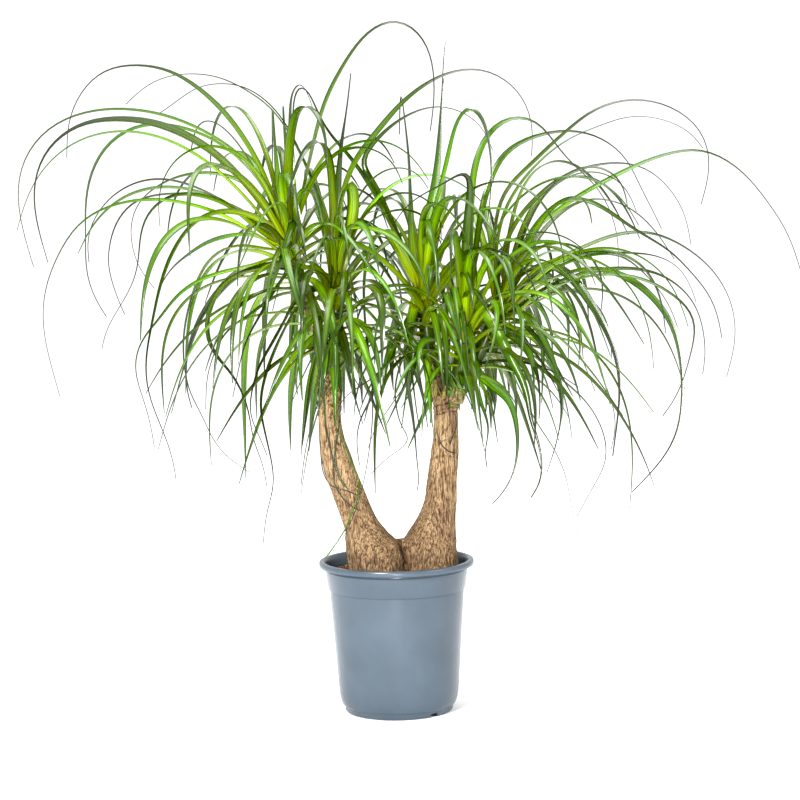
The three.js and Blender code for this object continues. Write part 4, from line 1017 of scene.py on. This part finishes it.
# Painted shade: each blade's colour is darkened towards its edges, to 0.42 of its value at the very edge
painted_edge_shade = add_node(
    blade, "MapRange", {"From Min": 0.4, "From Max": 1.0, "To Min": 1.08, "To Max": 0.42, "Value": side}
)
own = add_node(blade, "MapRange", {"To Min": 0.3, "To Max": 1.3, "Value": tone})
for layer in (painted_edge_shade, own):
    bright = add_node(blade, "Math", {"operation": "MULTIPLY", 0: bright, 1: layer})
hue = add_node(blade, "MapRange", {"To Min": 0.484, "To Max": 0.512, "Value": tone})
shade = add_node(blade, "HueSaturation", {"Saturation": 1.08, "Color": grown, "Hue": hue, "Value": bright})
bump = add_node(blade, "Bump", {"Strength": 0.25, "Distance": 0.0003, "Height": veins})
shine = add_node(
    blade,
    "BsdfPrincipled",
    {"Roughness": 0.23, "Specular IOR Level": 0.62, "Base Color": shade, "Normal": bump},
)
glow = add_node(blade, "BsdfTranslucent", {"Color": shade})
both = add_node(blade, "MixShader", {"Fac": 0.18, 1: shine, 2: glow})
add_node(blade, "OutputMaterial", {"Surface": both})

# A slim core that the leaves stand on, as (share of its height, share of its radius)
CORE = ((0, 0.84), (0.25, 1), (0.6, 0.82), (0.88, 0.5), (1, 0.2))
# The core's side number of 0.8 gives it part of the leaves' painted edge shade
CORE_NUMBERS = {"share": 0.3, "across": 0.0, "side": 0.8, "run": 0.0, "tone": 0.3}
for name, head in HEADS.items():
    core_rows = [
        (*(head["base"] + head["axis"] * head["length"] * up), head["radius"] * wide) for up, wide in CORE
    ]
    core = tube(through(core_rows, 16), 16)
    crown = make_object("leaves_" + name, *merge([*leaves[name], core]))
    for key, value in CORE_NUMBERS.items():
        paint(crown, key, painted[name][key] + [value] * len(core[0]))
    crown.data.set_sharp_from_angle(angle=math.radians(LEAF_CREASE))
    crown.data.materials.append(blade)
    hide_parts("leaf_head_" + name)
    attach(crown, "root")


# Leaf sheaths: the broad feet of cut leaves still wrap the short branches under each head,
# green and yellow. They grew from the branch and are rooted in it.
SHEATHS = 26
SHEATH_WRAP = 0.5
SHEATH_STAND = 3.5
SHEATH_WIDE = 6.5
strips = []
tones = []
random = make_random(51)
for name, branch in BRANCHES.items():
    rows = through([*branch, (*HEADS[name]["base"], HEADS[name]["radius"])], SHEATHS)
    for i, (x, y, z, radius) in enumerate(rows[SHEATHS // 5 :]):
        foot = (x, y, z - 10)
        strips.append(wrapped(foot, i * GOLDEN_TURN, radius, SHEATH_WRAP, SHEATH_STAND, SHEATH_WIDE, random))
        tones += [0.06 + 0.34 * random()] * len(strips[-1][0])
sheaths = make_object("leaf_sheaths", *merge(strips))
paint(sheaths, "share", tones)
paint(sheaths, "tone", tones)
sheaths.data.materials.append(blade)
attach(sheaths, "root")


# Strands on the bark: a few fallen leaves that have shrunk to narrow strands lie down over the
# stems and hang to the lip. They are soft, and rest on the bark.

# Rows are (half width, share of a leaf's length that gives the colour, front-view path of
# (across, height))
STRANDS = (
    (1.5, 0.7, (-81, 460), (-88, 427), (-90, 410), (-90, 393), (-87, 376), (-80, 361), (-71, 350)),
    (1.0, 0.9, (-104, 452), (-99, 420), (-94, 393), (-93, 376), (-92, 359), (-81, 338), (-66, 324),
     (-51, 317)),
    (0.9, 1.0, (-114, 440), (-113, 405), (-110, 376), (-100, 357), (-85, 352), (-68, 346), (-57, 340)),
    (1.2, 0.45, (-88, 455), (-77, 420), (-66, 390), (-55, 362), (-58, 338), (-66, 317), (-76, 291),
     (-84, 277), (-102, 252), (-113, 239)),
    (0.9, 1.0, (66, 440), (70, 420), (82, 406), (97, 400)),
    (0.9, 0.9, (92, 470), (97, 446), (90, 426), (84, 410)),
)
STRAND_GAP = 0.8
strips = []
tones = []
for half, age, *path in STRANDS:
    rows = through(path, 10 * len(path))
    stem = np.array(LEFT_STEM if rows[0, 0] < 0 else RIGHT_STEM, float)
    middle, depth, wide, deep = (np.interp(rows[:, 1], stem[:, 2], stem[:, k]) for k in (0, 1, 3, 4))
    across = np.clip((rows[:, 0] - middle) / wide, -1, 1)
    front = depth - deep * np.sqrt(1 - np.minimum(across**2, 0.96)) - STRAND_GAP
    centre = np.stack([rows[:, 0], front, rows[:, 1]], 1)
    outward = np.stack([0.3 * across, -1 + 0 * across, 0 * across], 1)
    taper = np.clip(np.minimum(np.arange(len(rows)), np.arange(len(rows))[::-1]) / 8, 0.15, 1)
    strips.append(dry_strip(centre, outward, half * taper))
    tones += [age] * len(strips[-1][0])
strands = make_object("strands_on_bark", *merge(strips))
paint(strands, "share", tones)
paint(strands, "tone", [0.5] * len(tones))
strands.data.materials.append(blade)
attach(strands, "root")


# Floor and backdrop: a flat plain sheet of matt white paper that the pot stands on, and the white
# room behind it. Soft white light comes from the room and from four panels.
FLOOR = 9000
PANELS_FACE = (0, 0, 0.55)
corners = [(-FLOOR, -FLOOR, 0), (FLOOR, -FLOOR, 0), (FLOOR, FLOOR, 0), (-FLOOR, FLOOR, 0)]
floor = make_object("floor", corners, [(0, 1, 2, 3)])
paper = new_material("plain_white_paper")
shine = add_node(paper, "BsdfPrincipled", {"Base Color": linear("#fdfdfd"), "Roughness": 1.0})
add_node(paper, "OutputMaterial", {"Surface": shine})
floor.data.materials.append(paper)

world = bpy.data.worlds.new("white_room")
world.use_nodes = True
air = world.node_tree.nodes["Background"].inputs
air["Color"].default_value = linear("#ffffff")
air["Strength"].default_value = 1.0
studio = bpy.context.scene
studio.world = world
studio.view_settings.view_transform = "Standard"
studio.view_settings.look = "Medium High Contrast"


def aim(thing, at):
    """Points a lamp or camera at a place."""
    thing.rotation_euler = (Vector(at) - thing.location).to_track_quat("-Z", "Y").to_euler()


for name, place, power, wide, tall in (
    ("panel_front_left", (-1.4, -3.0, 2.1), 150, 0.7, 0.7),
    ("panel_front", (-0.04, -4.4, 0.55), 60, 0.15, 0.9),
    ("panel_right", (2.4, -1.2, 1.7), 16, 1.4, 1.4),
    ("panel_top", (0.1, 0.2, 3.0), 60, 1.8, 1.8),
):
    light = bpy.data.lights.new(name, "AREA")
    light.energy = power
    light.shape = "RECTANGLE"
    light.size = wide
    light.size_y = tall
    lamp = bpy.data.objects.new(name, light)
    lamp.location = place
    studio.collection.objects.link(lamp)
    aim(lamp, PANELS_FACE)

# Camera: in front, a little above the leaves' middle, with the small tilt of the photograph
ROLL = -0.0203
LENS = 111.65
AIM_HEIGHT = 0.4835
sight = bpy.data.cameras.new("camera")
sight.lens = LENS
camera = bpy.data.objects.new("camera", sight)
camera.location = (VIEW_X / 1000, -VIEW_DISTANCE / 1000, VIEW_HEIGHT / 1000)
studio.collection.objects.link(camera)
aim(camera, (VIEW_X / 1000, 0, AIM_HEIGHT))
camera.rotation_euler = (camera.rotation_euler.to_matrix() @ Matrix.Rotation(ROLL, 3, "Z")).to_euler()
studio.camera = camera
